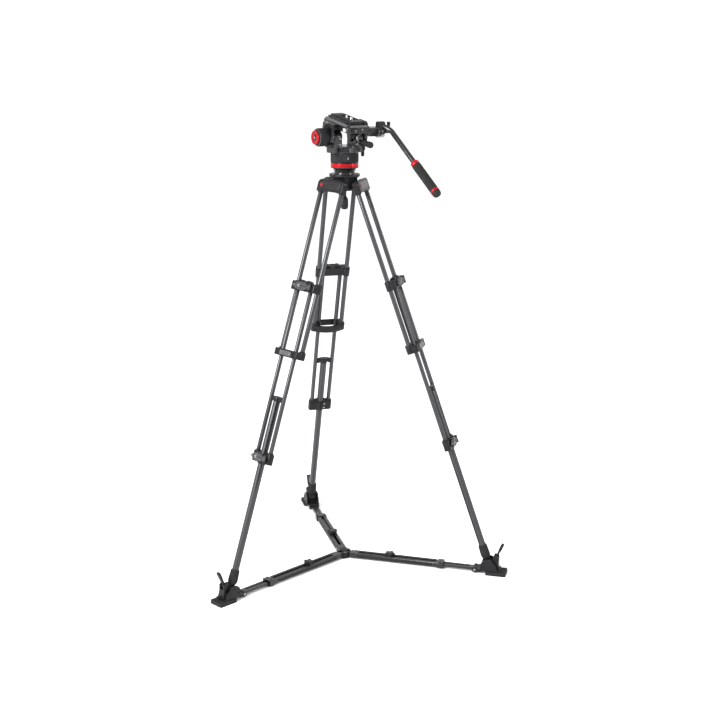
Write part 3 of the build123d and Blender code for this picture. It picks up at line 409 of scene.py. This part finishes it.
def rounded(width, height, radius, x=0.0, y=0.0, turn=0.0, steps=6):
    """A rectangle with round corners, as an outline."""
    points = []
    for k, (sx, sy) in enumerate(((1, 1), (-1, 1), (-1, -1), (1, -1))):
        for i in range(steps + 1):
            angle = pi / 2 * (k + i / steps)
            px = sx * (width / 2 - radius) + radius * cos(angle)
            py = sy * (height / 2 - radius) + radius * sin(angle)
            points.append((x + px * cos(turn) - py * sin(turn), y + px * sin(turn) + py * cos(turn)))
    return points


def merge(*parts):
    """Join several bmeshes into the first."""
    first = parts[0]
    for part in parts[1:]:
        mesh = bpy.data.meshes.new("part")
        part.to_mesh(mesh)
        part.free()
        first.from_mesh(mesh)
        bpy.data.meshes.remove(mesh)
    return first


def screw_head(x, y, z, radius=3.0, height=1.6):
    """A pan head with a hexagon socket, standing on the XY plane at z."""
    bm = bmesh.new()
    steps = 36
    rings = []
    for r, h in ((radius, 0), (radius, height * 0.6), (radius * 0.8, height), (radius * 0.5, height)):
        rings.append([
            bm.verts.new((x + r * cos(2 * pi * i / steps), y + r * sin(2 * pi * i / steps), z + h))
            for i in range(steps)
        ])
    for depth in (height, height * 0.2):
        ring = []
        for i in range(steps):
            angle = 2 * pi * i / steps
            r = radius * 0.46 * cos(pi / 6) / cos((angle % (pi / 3)) - pi / 6)
            ring.append(bm.verts.new((x + r * cos(angle), y + r * sin(angle), z + depth)))
        rings.append(ring)
    for low, high in zip(rings, rings[1:]):
        for i in range(steps):
            j = (i + 1) % steps
            bm.faces.new((low[i], low[j], high[j], high[i]))
    bm.faces.new(rings[0])
    bm.faces.new(rings[-1])
    return bm


# ---------------------------------------------------------------- crown and legs
def crown_details():
    """Rim groove ring, skirt ribs and the hinge bolt heads."""
    rim = lathe([(50, 1487.6), (50.6, 1488), (54.6, 1488), (55.2, 1487.4), (55.2, 1486.6), (50, 1486.6)],
                128)
    put("crown_rim_ring", rim, Matrix.Identity(4), "crown", "black_casting", SATIN, bevel=0.2)
    neck = lathe([(39.5, 1499), (41.2, 1505.6), (43.5, 1508), (44.4, 1509.6), (43, 1509.6)], 128)
    put("neck_band", neck, Matrix.Identity(4), "ball", "black_anodised", SATIN)
    for leg, azimuth in LEGS.items():
        along = leg_frame(azimuth)
        for side, axes in ((1, ALONG_X), (-1, AGAINST_X)):
            head = screw_head(0, 0, 0, 8, 3.2)
            put(f"{leg}_hinge_head_{'a' if side > 0 else 'b'}", head, at(along, axes, (side * 68, 0, 0)),
                f"{leg}_upper", "black_anodised", ANODISED)


def shoulder_details(leg, along):
    """Raised frame and recessed panel on the shoulder's face, round badge, tube collars."""
    body = f"{leg}_upper"
    face = at(along, OUTWARD, (0, 15, -3.5))
    panel = slab(rounded(104, 27, 9), -0.2, 1.1, 0.03)
    put(f"{leg}_shoulder_panel", panel, face, body, "black_casting", SATIN, bevel=0.5)
    badge = lathe([(7.2, 1.0), (7.2, 2.0), (6.6, 2.4), (5.9, 2.1), (5.4, 2.1), (4.9, 2.5), (0.01, 2.7)], 48)
    put(f"{leg}_shoulder_badge", badge, at(face, UPRIGHT, (-42, 0, 0)), body, "red_plastic", RED_DARK,
        LIGHT,
        pick=lambda c: 1 if c.xy.length < 2.4 else 0)
    for side, tag in ((-1, "a"), (1, "b")):
        ring = lathe([(9.0, -31), (10.6, -30), (11.4, -27), (11.4, -25.6), (8.6, -25.6), (8.6, -31)], 64)
        put(f"{leg}_shoulder_collar_{tag}", ring, at(along, UPRIGHT, (side * 54, 0, 0)), body,
            "black_casting", PLASTIC,
            bevel=0.3)


def bridge_details(leg, along):
    """Brushed plate with screws on the bridge's outer bar, collars on the tube sockets."""
    body = f"{leg}_upper"
    face = at(along, OUTWARD, (0, 32, -624))
    plate = slab(rounded(58, 17, 3), -0.3, 1.3)
    put(f"{leg}_bridge_plate", plate, face, body, "light_grey", PLATE, bevel=0.4)
    screws = merge(*[screw_head(x, 0, 1.2, 2.6, 1.2) for x in (-24, 24)])
    put(f"{leg}_bridge_screws", screws, face, body, "bright_steel", STEEL)
    for side, tag in ((-1, "a"), (1, "b")):
        ring = lathe([(9, -611.5), (12.6, -611.5), (12.2, -608), (10, -605.5), (8.7, -605), (8.7, -611.5)],
                     64)
        put(f"{leg}_bridge_collar_{tag}", ring, at(along, UPRIGHT, (side * 54, 0, 0)), body,
            "black_casting", BLACK,
            bevel=0.3)


def chevron(x, y, size):
    """A narrow arrowhead outline that points along -X."""
    return [(x - size, y), (x + size * 0.5, y + size * 0.9), (x + size, y + size * 0.9),
            (x - size * 0.35, y),
            (x + size, y - size * 0.9), (x + size * 0.5, y - size * 0.9)]


def lever_details(leg, along, kind, pivot, centre, length):
    """Light chevron, ridge line and end screw on a lock lever's crowned face."""
    body = f"{leg}_{kind}_lock"
    x, y = pivot
    face = at(along, OUTWARD, (x + length / 2, y + 3.8, centre))
    mark = slab(chevron(-length * 0.1, 0, 6.0), -0.4, 0.5)
    put(f"{leg}_{kind}_lever_mark", mark, face, body, "light_grey", LIGHT, bevel=0.15)
    ridge = slab(rounded(length * 0.3, 2.2, 1.0, x=length * 0.2), -0.3, 0.8)
    put(f"{leg}_{kind}_lever_ridge", ridge, face, body, "grey_plastic", PLASTIC, bevel=0.3)
    screw = screw_head(-length * 0.36, 0, -0.5, 2.6, 1.4)
    put(f"{leg}_{kind}_lever_screw", screw, face, body, "bright_steel", STEEL)


def clamp_details(leg, along):
    """Pinch screws, wear liners and end collars on the carriage and the lower clamp."""
    body = f"{leg}_middle"
    for side, tag in ((-1, "a"), (1, "b")):
        ring = lathe([(9, -362.2), (12.4, -362.2), (12.0, -359.6), (9.3, -358.4), (9, -358.4)], 64)
        put(f"{leg}_carriage_lip_{tag}", ring, at(along, UPRIGHT, (side * 54, 0, 0)), body, "black_casting",
            PLASTIC,
            bevel=0.3)
        cap = lathe([(8.2, -990.2), (11.4, -990.2), (11.0, -986.4), (8.6, -984.6), (8.2, -984.6)], 64)
        put(f"{leg}_clamp_collar_{tag}", cap, at(along, UPRIGHT, (side * 34, 13, 0)), body, "black_casting",
            BLACK,
            bevel=0.3)
    screw = merge(screw_head(0, 8, 0, 3.4, 2.4), screw_head(0, -8, 0, 3.4, 2.4))
    put(f"{leg}_clamp_screws", screw, at(along, INWARD, (16, -0.6, -1009)), body, "bright_steel", STEEL)
    liner = lathe([(13.35, -1028.6), (16.6, -1028.6), (15.8, -1031.2), (13.9, -1032.2), (13.35, -1032.2)],
                  72)
    put(f"{leg}_clamp_liner", liner, at(along, UPRIGHT, (0, 13, 0)), body, "black_casting", PLASTIC,
        bevel=0.3)


def lower_details(leg, along):
    """Clamp band and ribs on the rubber cup, and a bead where the tube enters it."""
    body = f"{leg}_lower"
    profile = []
    for i in range(7):
        z = -1429 - i * 5.4
        profile += [(16.0 + i * 0.22, z), (17.2 + i * 0.2, z - 1.0), (17.2 + i * 0.2, z - 2.6),
                    (16.1 + i * 0.22, z - 3.6)]
    ribs = lathe([(14, -1428.6), *profile, (14, -1466)], 96)
    put(f"{leg}_cup_ribs", ribs, at(along, UPRIGHT, (0, 13, 0)), body, "carbon", RUBBER)
    bead = lathe([(13.05, -1424), (14.6, -1424), (16.2, -1425.4), (16.2, -1427), (13.05, -1427)], 72)
    put(f"{leg}_cup_bead", bead, at(along, UPRIGHT, (0, 13, 0)), body, "carbon", PLASTIC, bevel=0.3)


def foot_details(leg, arm):
    """Bolt heads, cheek ribs, pad treads, knuckle pin heads and the lever's thumb pads of a foot."""
    body = f"{leg}_foot"
    for side, axes in ((1, (Vector((-1, 0, 0)), Vector((0, 0, 1)), Vector((0, 1, 0)))),
                       (-1, (Vector((1, 0, 0)), Vector((0, 0, 1)), Vector((0, -1, 0))))):
        tag = "a" if side > 0 else "b"
        cheek = at(arm, axes, (0, side * 26, 0))
        bolts = merge(screw_head(-side * 595, 30, 0, 3.4, 1.6), screw_head(-side * 552, 30, 0, 3.4, 1.6))
        put(f"{leg}_cheek_bolts_{tag}", bolts, cheek, body, "black_anodised", ANODISED)
        rib = slab(rounded(26, 16, 5, x=-side * 573, y=40), -0.3, 1.2, 0.06)
        put(f"{leg}_cheek_rib_{tag}", rib, cheek, body, "black_plastic", PLASTIC, bevel=0.4)
        post = at(arm, axes, (598, side * 14, 64))
        put(f"{leg}_post_bolt_{tag}", screw_head(0, 0, 0, 4.4, 2.4), post, body, "black_anodised", ANODISED)
        pin = at(arm, axes, (520, side * 20.5, 13))
        put(f"{leg}_knuckle_pin_{tag}", screw_head(0, 0, 0, 4.8, 2.6), pin, body, "bright_steel", STEEL)
    for i in range(4):
        tread = slab(rounded(2.4, 50, 1.1, x=620 + i * 4.6), 13.6, 15.2)
        put(f"{leg}_pad_tread_{i}", tread, arm, body, "black_plastic", RUBBER, bevel=0.4)
    lean = basis(Vector((0, -1, 0)), Vector((0.4, 0, 0.9165)), Vector((-0.9165, 0, 0.4)), (598, 0, 64))
    for side, tag in ((1, "inner"), (-1, "outer")):
        axes = UPRIGHT if side > 0 else (Vector((-1, 0, 0)), Vector((0, 1, 0)), Vector((0, 0, -1)))
        pad = slab(rounded(11, 27, 4.5, y=44), 4.0, 5.9, 0.04)
        put(f"{leg}_lever_pad_{tag}", pad, at(arm @ lean, axes, (0, 0, 0)), f"{leg}_foot_lock",
            "black_plastic", GREY,
            bevel=0.5)


def arm_details(leg, arm):
    """Edge rails and slot lips along a channel, collar screws, knob cap."""
    chan = "hub" if leg == "back" else f"{leg}_channel"
    for side, tag in ((-1, "a"), (1, "b")):
        rail = slab(rounded(326, 2.6, 1.2, x=204, y=side * 14.6), 22.8, 24.2)
        put(f"{leg}_channel_rail_{tag}", rail, arm, chan, "black_plastic", SATIN, bevel=0.3)
        lip = slab(rounded(310, 1.4, 0.6, x=214, y=side * 6.6), 22.8, 23.7)
        put(f"{leg}_channel_lip_{tag}", lip, arm, chan, "black_plastic", GREY, bevel=0.15)
        skirt = slab(rounded(300, 7, 3, x=206, y=14), -0.3, 0.9, 0.004)
        axes = INWARD if side < 0 else OUTWARD
        place = at(arm, (axes[0], axes[1], axes[2]), (0 if side < 0 else 412, side * 18, 0))
        put(f"{leg}_channel_skirt_{tag}", skirt, place, chan, "black_plastic", PLASTIC, bevel=0.3)
    screws = merge(screw_head(386, 13, 25.4, 3, 1.4), screw_head(386, -13, 25.4, 3, 1.4))
    put(f"{leg}_collar_screws", screws, arm, chan, "black_anodised", ANODISED)
    cap = lathe([(8.4, 36.4), (8.4, 37.1), (7.6, 37.5), (6.2, 37.2), (0.01, 37.2)], 48)
    put(f"{leg}_knob_cap", cap, at(arm, UPRIGHT, (185, 0, 0)), f"{leg}_knob", "black_plastic", GREY)


def hub_details():
    """Raised cap on the hub."""
    cap = lathe([(11.5, 24.8), (11.5, 26.2), (10.5, 26.9), (8.4, 26.6), (0.01, 26.6)], 64)
    put("hub_cap", cap, Matrix.Identity(4), "hub", "black_plastic", PLASTIC)
    screws = merge(*[screw_head(22 * cos(radians(a)), 22 * sin(radians(a)), 24.8, 3, 1.3) for a in (30, 150,
                                                                                                    270)])
    put("hub_screws", screws, Matrix.Identity(4), "hub", "bright_steel", STEEL)


# ---------------------------------------------------------------- fluid head
def between(low, high, value):
    return low < value < high


def drag_ring():
    """Pan drag ring with fine vertical ribs between two plain lips, and dark bands on the red ring below it."""
    profile = [(45.6, 1531.2), (49.6, 1531.2), (50.6, 1532.2), (50.6, 1534.4), (50.2, 1534.6),
               (50.2, 1560.4),
               (50.2, 1560.6), (49.6, 1562.6), (48.6, 1564), (45.6, 1564), (45.6, 1531.2)]
    ring = lathe(profile, 540, lambda a, z: 0.55 * cos(90 * a) if between(1534.5, 1560.5, z) else 0)
    piece = put("drag_ring_ribbed", ring, Matrix.Identity(4), "drag_ring", "black_plastic", PLASTIC)
    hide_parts("pan_drag_ring")
    for tag, low, high in (("low", 1509.7, 1514.6), ("high", 1526.6, 1529.4)):
        band = lathe([(46, low), (49.4, low), (50.8, low + 1), (50.9, high - 0.7), (50.3, high), (46, high),
                      (46, low)], 128)
        put(f"red_ring_band_{tag}", band, Matrix.Identity(4), "ball", "black_plastic", SATIN)
    mark = slab(rounded(3, 8, 1.2), 0, 0.7)
    put("drag_ring_mark", mark, at(HEAD, (Vector((1, 0, 0)), Vector((0, 0, 1)), Vector((0, -1, 0))), (-14,
                                                                                                      -49.2,
                                                                                                      1547)),
        "drag_ring", "light_grey", LIGHT, bevel=0.2)


def tilt_dial():
    """Knurled dial and its stepped face."""
    profile = [(20, 0.2), (28, 0.2), (29, 1.2), (29, 9.6), (31.2, 10.8), (31.8, 12), (31.8, 34.4),
               (31.2, 35.8),
               (29, 36.8), (28.4, 40.8), (27.2, 41.6), (20, 41.6), (20, 0.2)]
    dial = lathe(profile, 432, lambda a, z: 0.7 * cos(36 * a) if between(11.5, 35, z) else 0)
    piece = put("tilt_dial_knurled", dial, at(TILT, AGAINST_X, (-76.4, 0, 0)), "tilt_dial", "black_plastic",
                PLASTIC)
    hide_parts("tilt_drag_dial")
    trim = lathe([(29.0, 37.1), (29.8, 37.3), (30.1, 38.2), (29.6, 39.2), (28.6, 39.4), (28.6, 37.1),
                  (29.0, 37.1)], 128)
    put("tilt_dial_trim", trim, at(TILT, AGAINST_X, (-76.4, 0, 0)), "tilt_dial", "light_grey", PLATE)


def selector():
    """Round selector: red rim, dark red dished face with a finger bar and a light dot."""
    face = at(TILT, AGAINST_X, (-118.4, 0, 0))
    rim = lathe([(20.6, 0.1), (24.6, 0.1), (25, 0.8), (25, 4.4), (24, 5.8), (22.2, 5.9), (21.2, 4.8),
                 (20.6, 3.6),
                 (20.6, 0.1)], 128)
    ring = put("selector_rim", rim, face, "selector", "red_plastic", RED)
    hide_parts("dial_selector")
    dish = lathe([(20.5, 0.1), (20.5, 3.2), (19.6, 3.6), (14, 2.8), (7, 3.0), (0.01, 3.3)], 96)
    put("selector_face", dish, face, "selector", "red_plastic", RED_DARK)
    bar = slab(rounded(9, 28, 4.4), 2.6, 5.2, 0.12)
    put("selector_bar", bar, face, "selector", "red_plastic", PLASTIC, bevel=0.8)
    dot = lathe([(2.8, 5.0), (2.8, 5.6), (2.3, 5.9), (0.01, 6.0)], 32)
    put("selector_dot", dot, face, "selector", "light_grey", LIGHT)


def body_details():
    """Deck collar, column bosses, cover plates, screws and index marks on the head's body."""
    collar = lathe([(46, 1564.6), (48.6, 1565.4), (49.2, 1568), (49.0, 1574), (47.6, 1580), (45.4, 1582)],
                   160)
    put("deck_collar", collar, HEAD, "head", "black_casting", SATIN)
    for side, tag, axes in ((-1, "left", ALONG_X), (1, "right", AGAINST_X)):
        boss = lathe([(19.8, -0.4), (19.8, 2.6), (18.4, 4.6), (14.6, 5.4), (13.8, 4.4), (9, 4.2),
                      (8.2, 5.2), (0.01, 5.4)], 96)
        put(f"column_boss_{tag}", boss, at(HEAD, axes, (side * 24.6, 0, 1622)), "head", "black_casting",
            SATIN)
        ring = lathe([(20, -0.3), (21.4, -0.3), (21.6, 0.5), (20.6, 1.0), (20, 0.9)], 96)
        put(f"column_ring_{tag}", ring, at(HEAD, axes, (side * 27, 0, 1622)), "head", "light_grey", PLATE)
        rear = at(HEAD, INWARD, (side * 44.5, -29.2, 1606))
        cover = slab(rounded(27, 32, 8), -1.6, 1.2, 0.05)
        put(f"column_cover_{tag}", cover, rear, "head", "black_casting", SATIN, bevel=0.7)
        bolts = merge(screw_head(side * -8, 10.5, 1.1, 2.3, 1.1),
                      screw_head(side * -8, -10.5, 1.1, 2.3, 1.1))
        put(f"column_screws_{tag}", bolts, rear, "head", "bright_steel", STEEL)
        foot = slab(rounded(24, 15, 6), -0.6, 1.4, 0.08)
        put(f"deck_window_{tag}", foot, at(HEAD, INWARD, (side * 31, -38.4, 1577)), "head", "black_casting",
            BLACK, bevel=0.5)
    # Light crescent on the right column's rear face: a painted highlight of the column's rounded form, built as
    # a thin tapered arc of brushed metal.
    steps = 30
    crescent = bmesh.new()
    strips = []
    for i in range(steps + 1):
        angle = radians(-100 + 200 * i / steps)
        wide = 1.2 + 2.6 * sin(pi * i / steps)
        strips.append([crescent.verts.new((r * cos(angle), r * sin(angle), h)) for r, h in
                       ((15.5 - wide, 0), (15.5 - wide * 0.6, 2.2), (15.5 + wide * 0.6, 2.2),
                        (15.5 + wide, 0))])
    for a, b in zip(strips, strips[1:]):
        for i in range(4):
            j = (i + 1) % 4
            crescent.faces.new((a[i], a[j], b[j], b[i]))
    crescent.faces.new(strips[0])
    crescent.faces.new(strips[-1])
    put("painted_highlight_crescent", crescent, at(HEAD, (Vector((-1, 0, 0)), Vector((0, 0, -1)), Vector((0, -1,
                                                                                                  0))),
                                                                                                  (50,
                                                                                                   -30.4,
                                                                                                   1615)),
        "head", "light_grey", PLATE, bevel=0.3)


def platform_details():
    """Housing beside the left ear, rear level block, channel liner, rail ticks and rosette teeth."""
    housing = slab([(-34, 6), (-30, -24), (-16, -36), (10, -36), (27, -24), (34, 4), (40, 34), (44, 54),
                    (8, 54), (-20, 40)],
                   0, 6.4, 0.03)
    put("ear_housing", housing, at(TILT, AGAINST_X, (-69.6, 0, 0)), "platform", "black_casting", BLACK,
        bevel=1.6)
    tab = slab(rounded(12, 12, 3), -8, 8)
    put("ear_tab", tab, at(TILT, AGAINST_X, (-69, -31, -26)), "platform", "black_casting", PLASTIC,
        bevel=1.2)
    block = slab(rounded(22, 17, 5), -1, 8, 0.08)
    put("rear_level_block", block, at(TILT, INWARD, (-18, -96, 41)), "platform", "black_plastic", PLASTIC,
        bevel=1.2)
    vial = lathe([(5.2, 7.6), (5.2, 8.4), (4.6, 9.0), (2.6, 9.4), (0.01, 9.6)], 48)
    put("rear_level_vial", vial, at(TILT, INWARD, (-18, -96, 41)), "platform", "level_glass", LEVEL)
    ring = lathe([(5.2, 7.8), (6.6, 7.8), (6.6, 8.8), (5.9, 9.2), (5.2, 8.9), (5.2, 7.8)], 48)
    put("rear_level_ring", ring, at(TILT, INWARD, (-18, -96, 41)), "platform", "black_plastic", PLASTIC)
    for side, tag in ((-1, "left"), (1, "right")):
        rail = slab(rounded(2.4, 148, 1.1, x=side * 31, y=-8), 64.6, 65.6)
        put(f"rail_cap_{tag}", rail, TILT, "platform", "black_casting", ANODISED, bevel=0.3)
    rib = slab(rounded(118, 6, 2.6, x=8, y=43), 0, 0.9)
    put("platform_side_rib", rib, at(TILT, AGAINST_X, (-47, 0, 0)), "platform", "black_casting", BLACK,
        bevel=0.3)
    ticks = merge(*[slab(rounded(2.6 if i % 5 else 4.2, 0.5, 0.2, x=-36.6, y=-62 + i * 6), 58,
                         58.35) for i in range(21)])
    put("rail_ticks", ticks, TILT, "platform", "light_grey", LIGHT)
    teeth = lathe([(9, 0), (17.4, 0), (17.4, 0.25), (9, 0.25), (9, 0)], 288, lambda a, z: 0.5 * cos(48 * a))
    put("rosette_teeth", teeth, at(TILT, ALONG_X, (84, -85, 32)), "platform", "black_casting", STEEL)
    put("platform_rear_screw", screw_head(0, 0, 0, 2.6, 1.2), at(TILT, INWARD, (14, -96, 44)), "platform",
        "bright_steel", STEEL)


def plate_details():
    """Rubber pads on the camera plate either side of its slot, and its front stop."""
    for side, tag in ((-1, "left"), (1, "right")):
        pad = merge(*[slab(rounded(13, 2.2, 0.9, x=side * 17, y=-58 + i * 3.4), 69.4,
                           70.6) for i in range(31)])
        put(f"plate_pad_{tag}", pad, TILT, "plate", "black_anodised", RUBBER)
    lip = slab(rounded(44, 6, 2.4, y=62), 69.4, 70.2)
    put("plate_front_lip", lip, TILT, "plate", "black_anodised", ANODISED, bevel=0.2)
    liner = slab(rounded(3, 92, 1.4, x=-6.2, y=-8), 64.0, 64.6)
    put("plate_slot_liner", liner, TILT, "plate", "black_anodised", STEEL)
    for name, y, radius in (("small", -4, 3.175), ("large", -37, 4.76)):
        rings = lathe([(7.2, 67.6), (7.2, 68.4), (6.4, 69), (radius + 0.4, 69)], 48)
        put(f"screw_collar_{name}", rings, at(TILT, UPRIGHT, (0, y, 0)), f"screw_{name}", "bright_steel",
            STEEL)


def along_line(start, end):
    """A placement at start whose Z runs to end, both in the head's frame in millimetres."""
    axis = (Vector(end) - Vector(start)).normalized()
    x = axis.cross(Vector((0, 0, 1))).normalized()
    return HEAD @ basis(x, axis.cross(x), axis, start)


def bar_details():
    """Ribbed rubber grip with a rounded end, its two red collars, and the clamp's light band and bolt."""
    joint = TILT_REST
    y = -85 * cos(joint) - 32 * sin(joint)
    z = 1622 - 85 * sin(joint) + 32 * cos(joint)
    bend, end = (120, y - 34, z + 4), (146, -386, z - 196)
    length = (Vector(end) - Vector(bend)).length
    line = along_line(bend, end)
    line = line @ Matrix.Rotation(atan2(-line[1][0], line[1][1]), 4, "Z")
    profile = [(9.4, length * 0.548), (15.4, length * 0.548)]
    ribs = 34
    for i in range(ribs):
        s = length * (0.552 + 0.374 * i / ribs)
        pitch = length * 0.374 / ribs
        profile += [(15.2, s), (15.9, s + pitch * 0.25), (15.9, s + pitch * 0.65), (15.2, s + pitch * 0.9)]
    profile += [(15.2, length * 0.93), (15.4, length * 0.95), (15.6, length * 0.965),
                (15.2, length * 0.985),
                (13.6, length * 0.998), (0.01, length * 1.0)]
    grip = lathe(profile, 240, lambda a, h: 0.25 * cos(40 * a) if h < length * 0.93 else 0)
    piece = put("grip_ribbed", grip, line, "pan_bar", "rubber_grip", RUBBER)
    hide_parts("pan_bar_grip")
    top = lathe([(9.6, length * 0.502), (12.8, length * 0.502), (14.6, length * 0.507),
                 (15.9, length * 0.515),
                 (16, length * 0.546), (15.4, length * 0.549), (9.6, length * 0.549),
                 (9.6, length * 0.502)], 96)
    ring = put("grip_top_collar", top, line, "pan_bar", "red_anodised", RED)
    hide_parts("grip_rings")
    low = lathe([(15, length * 0.93), (16.2, length * 0.932), (16.8, length * 0.936),
                 (16.8, length * 0.952),
                 (16.2, length * 0.956), (15, length * 0.957), (15, length * 0.93)], 96)
    put("grip_low_collar", low, line, "pan_bar", "red_anodised", RED)
    label = lathe([(0.01, -14), (8.2, -14), (9.4, -12.8), (9.4, 12.8), (8.2, 14), (0.01, 14)], 72)
    put("clamp_label_band", label, at(HEAD, ALONG_X, (97, y + 3, z - 13)), "pan_bar", "light_grey", LIGHT)
    bolt = screw_head(0, 0, 0, 4.2, 2)
    put("clamp_bolt", bolt, at(HEAD, INWARD, (97, y - 13, z + 2)), "pan_bar", "bright_steel", STEEL)


def add_details():
    crown_details()
    hub_details()
    for leg, azimuth in LEGS.items():
        along, arm = leg_frame(azimuth), arm_frame(azimuth)
        shoulder_details(leg, along)
        bridge_details(leg, along)
        clamp_details(leg, along)
        lower_details(leg, along)
        lever_details(leg, along, "upper", (-42, 34), -377, 88)
        lever_details(leg, along, "lower", (-33, 37), -1009, 74)
        foot_details(leg, arm)
        arm_details(leg, arm)
    drag_ring()
    tilt_dial()
    selector()
    body_details()
    platform_details()
    plate_details()
    bar_details()


# ---------------------------------------------------------------- floor, light and camera
CAMERA_PLACE = (-1175.3, -4634.5, 2045.5)   # mm
CAMERA_HEADING = 75.058                     # degrees from +X, anticlockwise from above
CAMERA_PITCH = -14.699
CAMERA_ROLL = 0.3
CAMERA_LENS = 65.893                        # mm, on a 36 mm sensor
WORLD_STRENGTH = 1.15
FLOOR_HALF = 30                             # m


def add_floor():
    bm = bmesh.new()
    bmesh.ops.create_grid(bm, x_segments=8, y_segments=8, size=FLOOR_HALF)
    mesh = bpy.data.meshes.new("floor")
    bm.to_mesh(mesh)
    floor = bpy.data.objects.new("floor", mesh)
    floor.data.materials.append(speckled_floor())
    bpy.context.scene.collection.objects.link(floor)


def add_light(name, place, target, size, watts, colour=(1, 1, 1)):
    data = bpy.data.lights.new(name, "AREA")
    data.shape = "RECTANGLE"
    data.size, data.size_y = size
    data.energy = watts
    data.color = colour
    lamp = bpy.data.objects.new(name, data)
    lamp.location = place
    lamp.rotation_euler = (Vector(target) - Vector(place)).to_track_quat("-Z", "Y").to_euler()
    bpy.context.scene.collection.objects.link(lamp)


def add_world():
    world = bpy.data.worlds.new("studio")
    world.use_nodes = True
    background = world.node_tree.nodes["Background"]
    background.inputs["Color"].default_value = (1, 1, 1, 1)
    background.inputs["Strength"].default_value = WORLD_STRENGTH
    bpy.context.scene.world = world


def add_camera():
    """Camera at eye height in front of the tripod, looking a little down."""
    heading, pitch, roll = radians(CAMERA_HEADING), radians(CAMERA_PITCH), radians(CAMERA_ROLL)
    ahead = Vector((cos(heading) * cos(pitch), sin(heading) * cos(pitch), sin(pitch)))
    right = Vector((sin(heading), -cos(heading), 0))
    up = right.cross(ahead)
    x = right * cos(roll) + up * sin(roll)
    y = up * cos(roll) - right * sin(roll)
    data = bpy.data.cameras.new("camera")
    data.sensor_width = 36
    data.lens = CAMERA_LENS
    data.clip_end = 200
    camera = bpy.data.objects.new("camera", data)
    camera.matrix_world = basis(x, y, -ahead, CAMERA_PLACE)
    bpy.context.scene.collection.objects.link(camera)
    bpy.context.scene.camera = camera


add_details()
add_floor()
add_world()
add_light("key", (-4.2, -2.2, 3.2), (0, 0, 0.9), (1.2, 2.4), 520)
add_light("fill", (3.6, -2.4, 2.2), (0, 0, 0.9), (1.0, 2.4), 90)
add_light("rim", (3.6, 1.6, 2.9), (0, 0, 1.0), (0.8, 1.6), 30)
add_camera()
bpy.context.scene.view_settings.view_transform = "Standard"
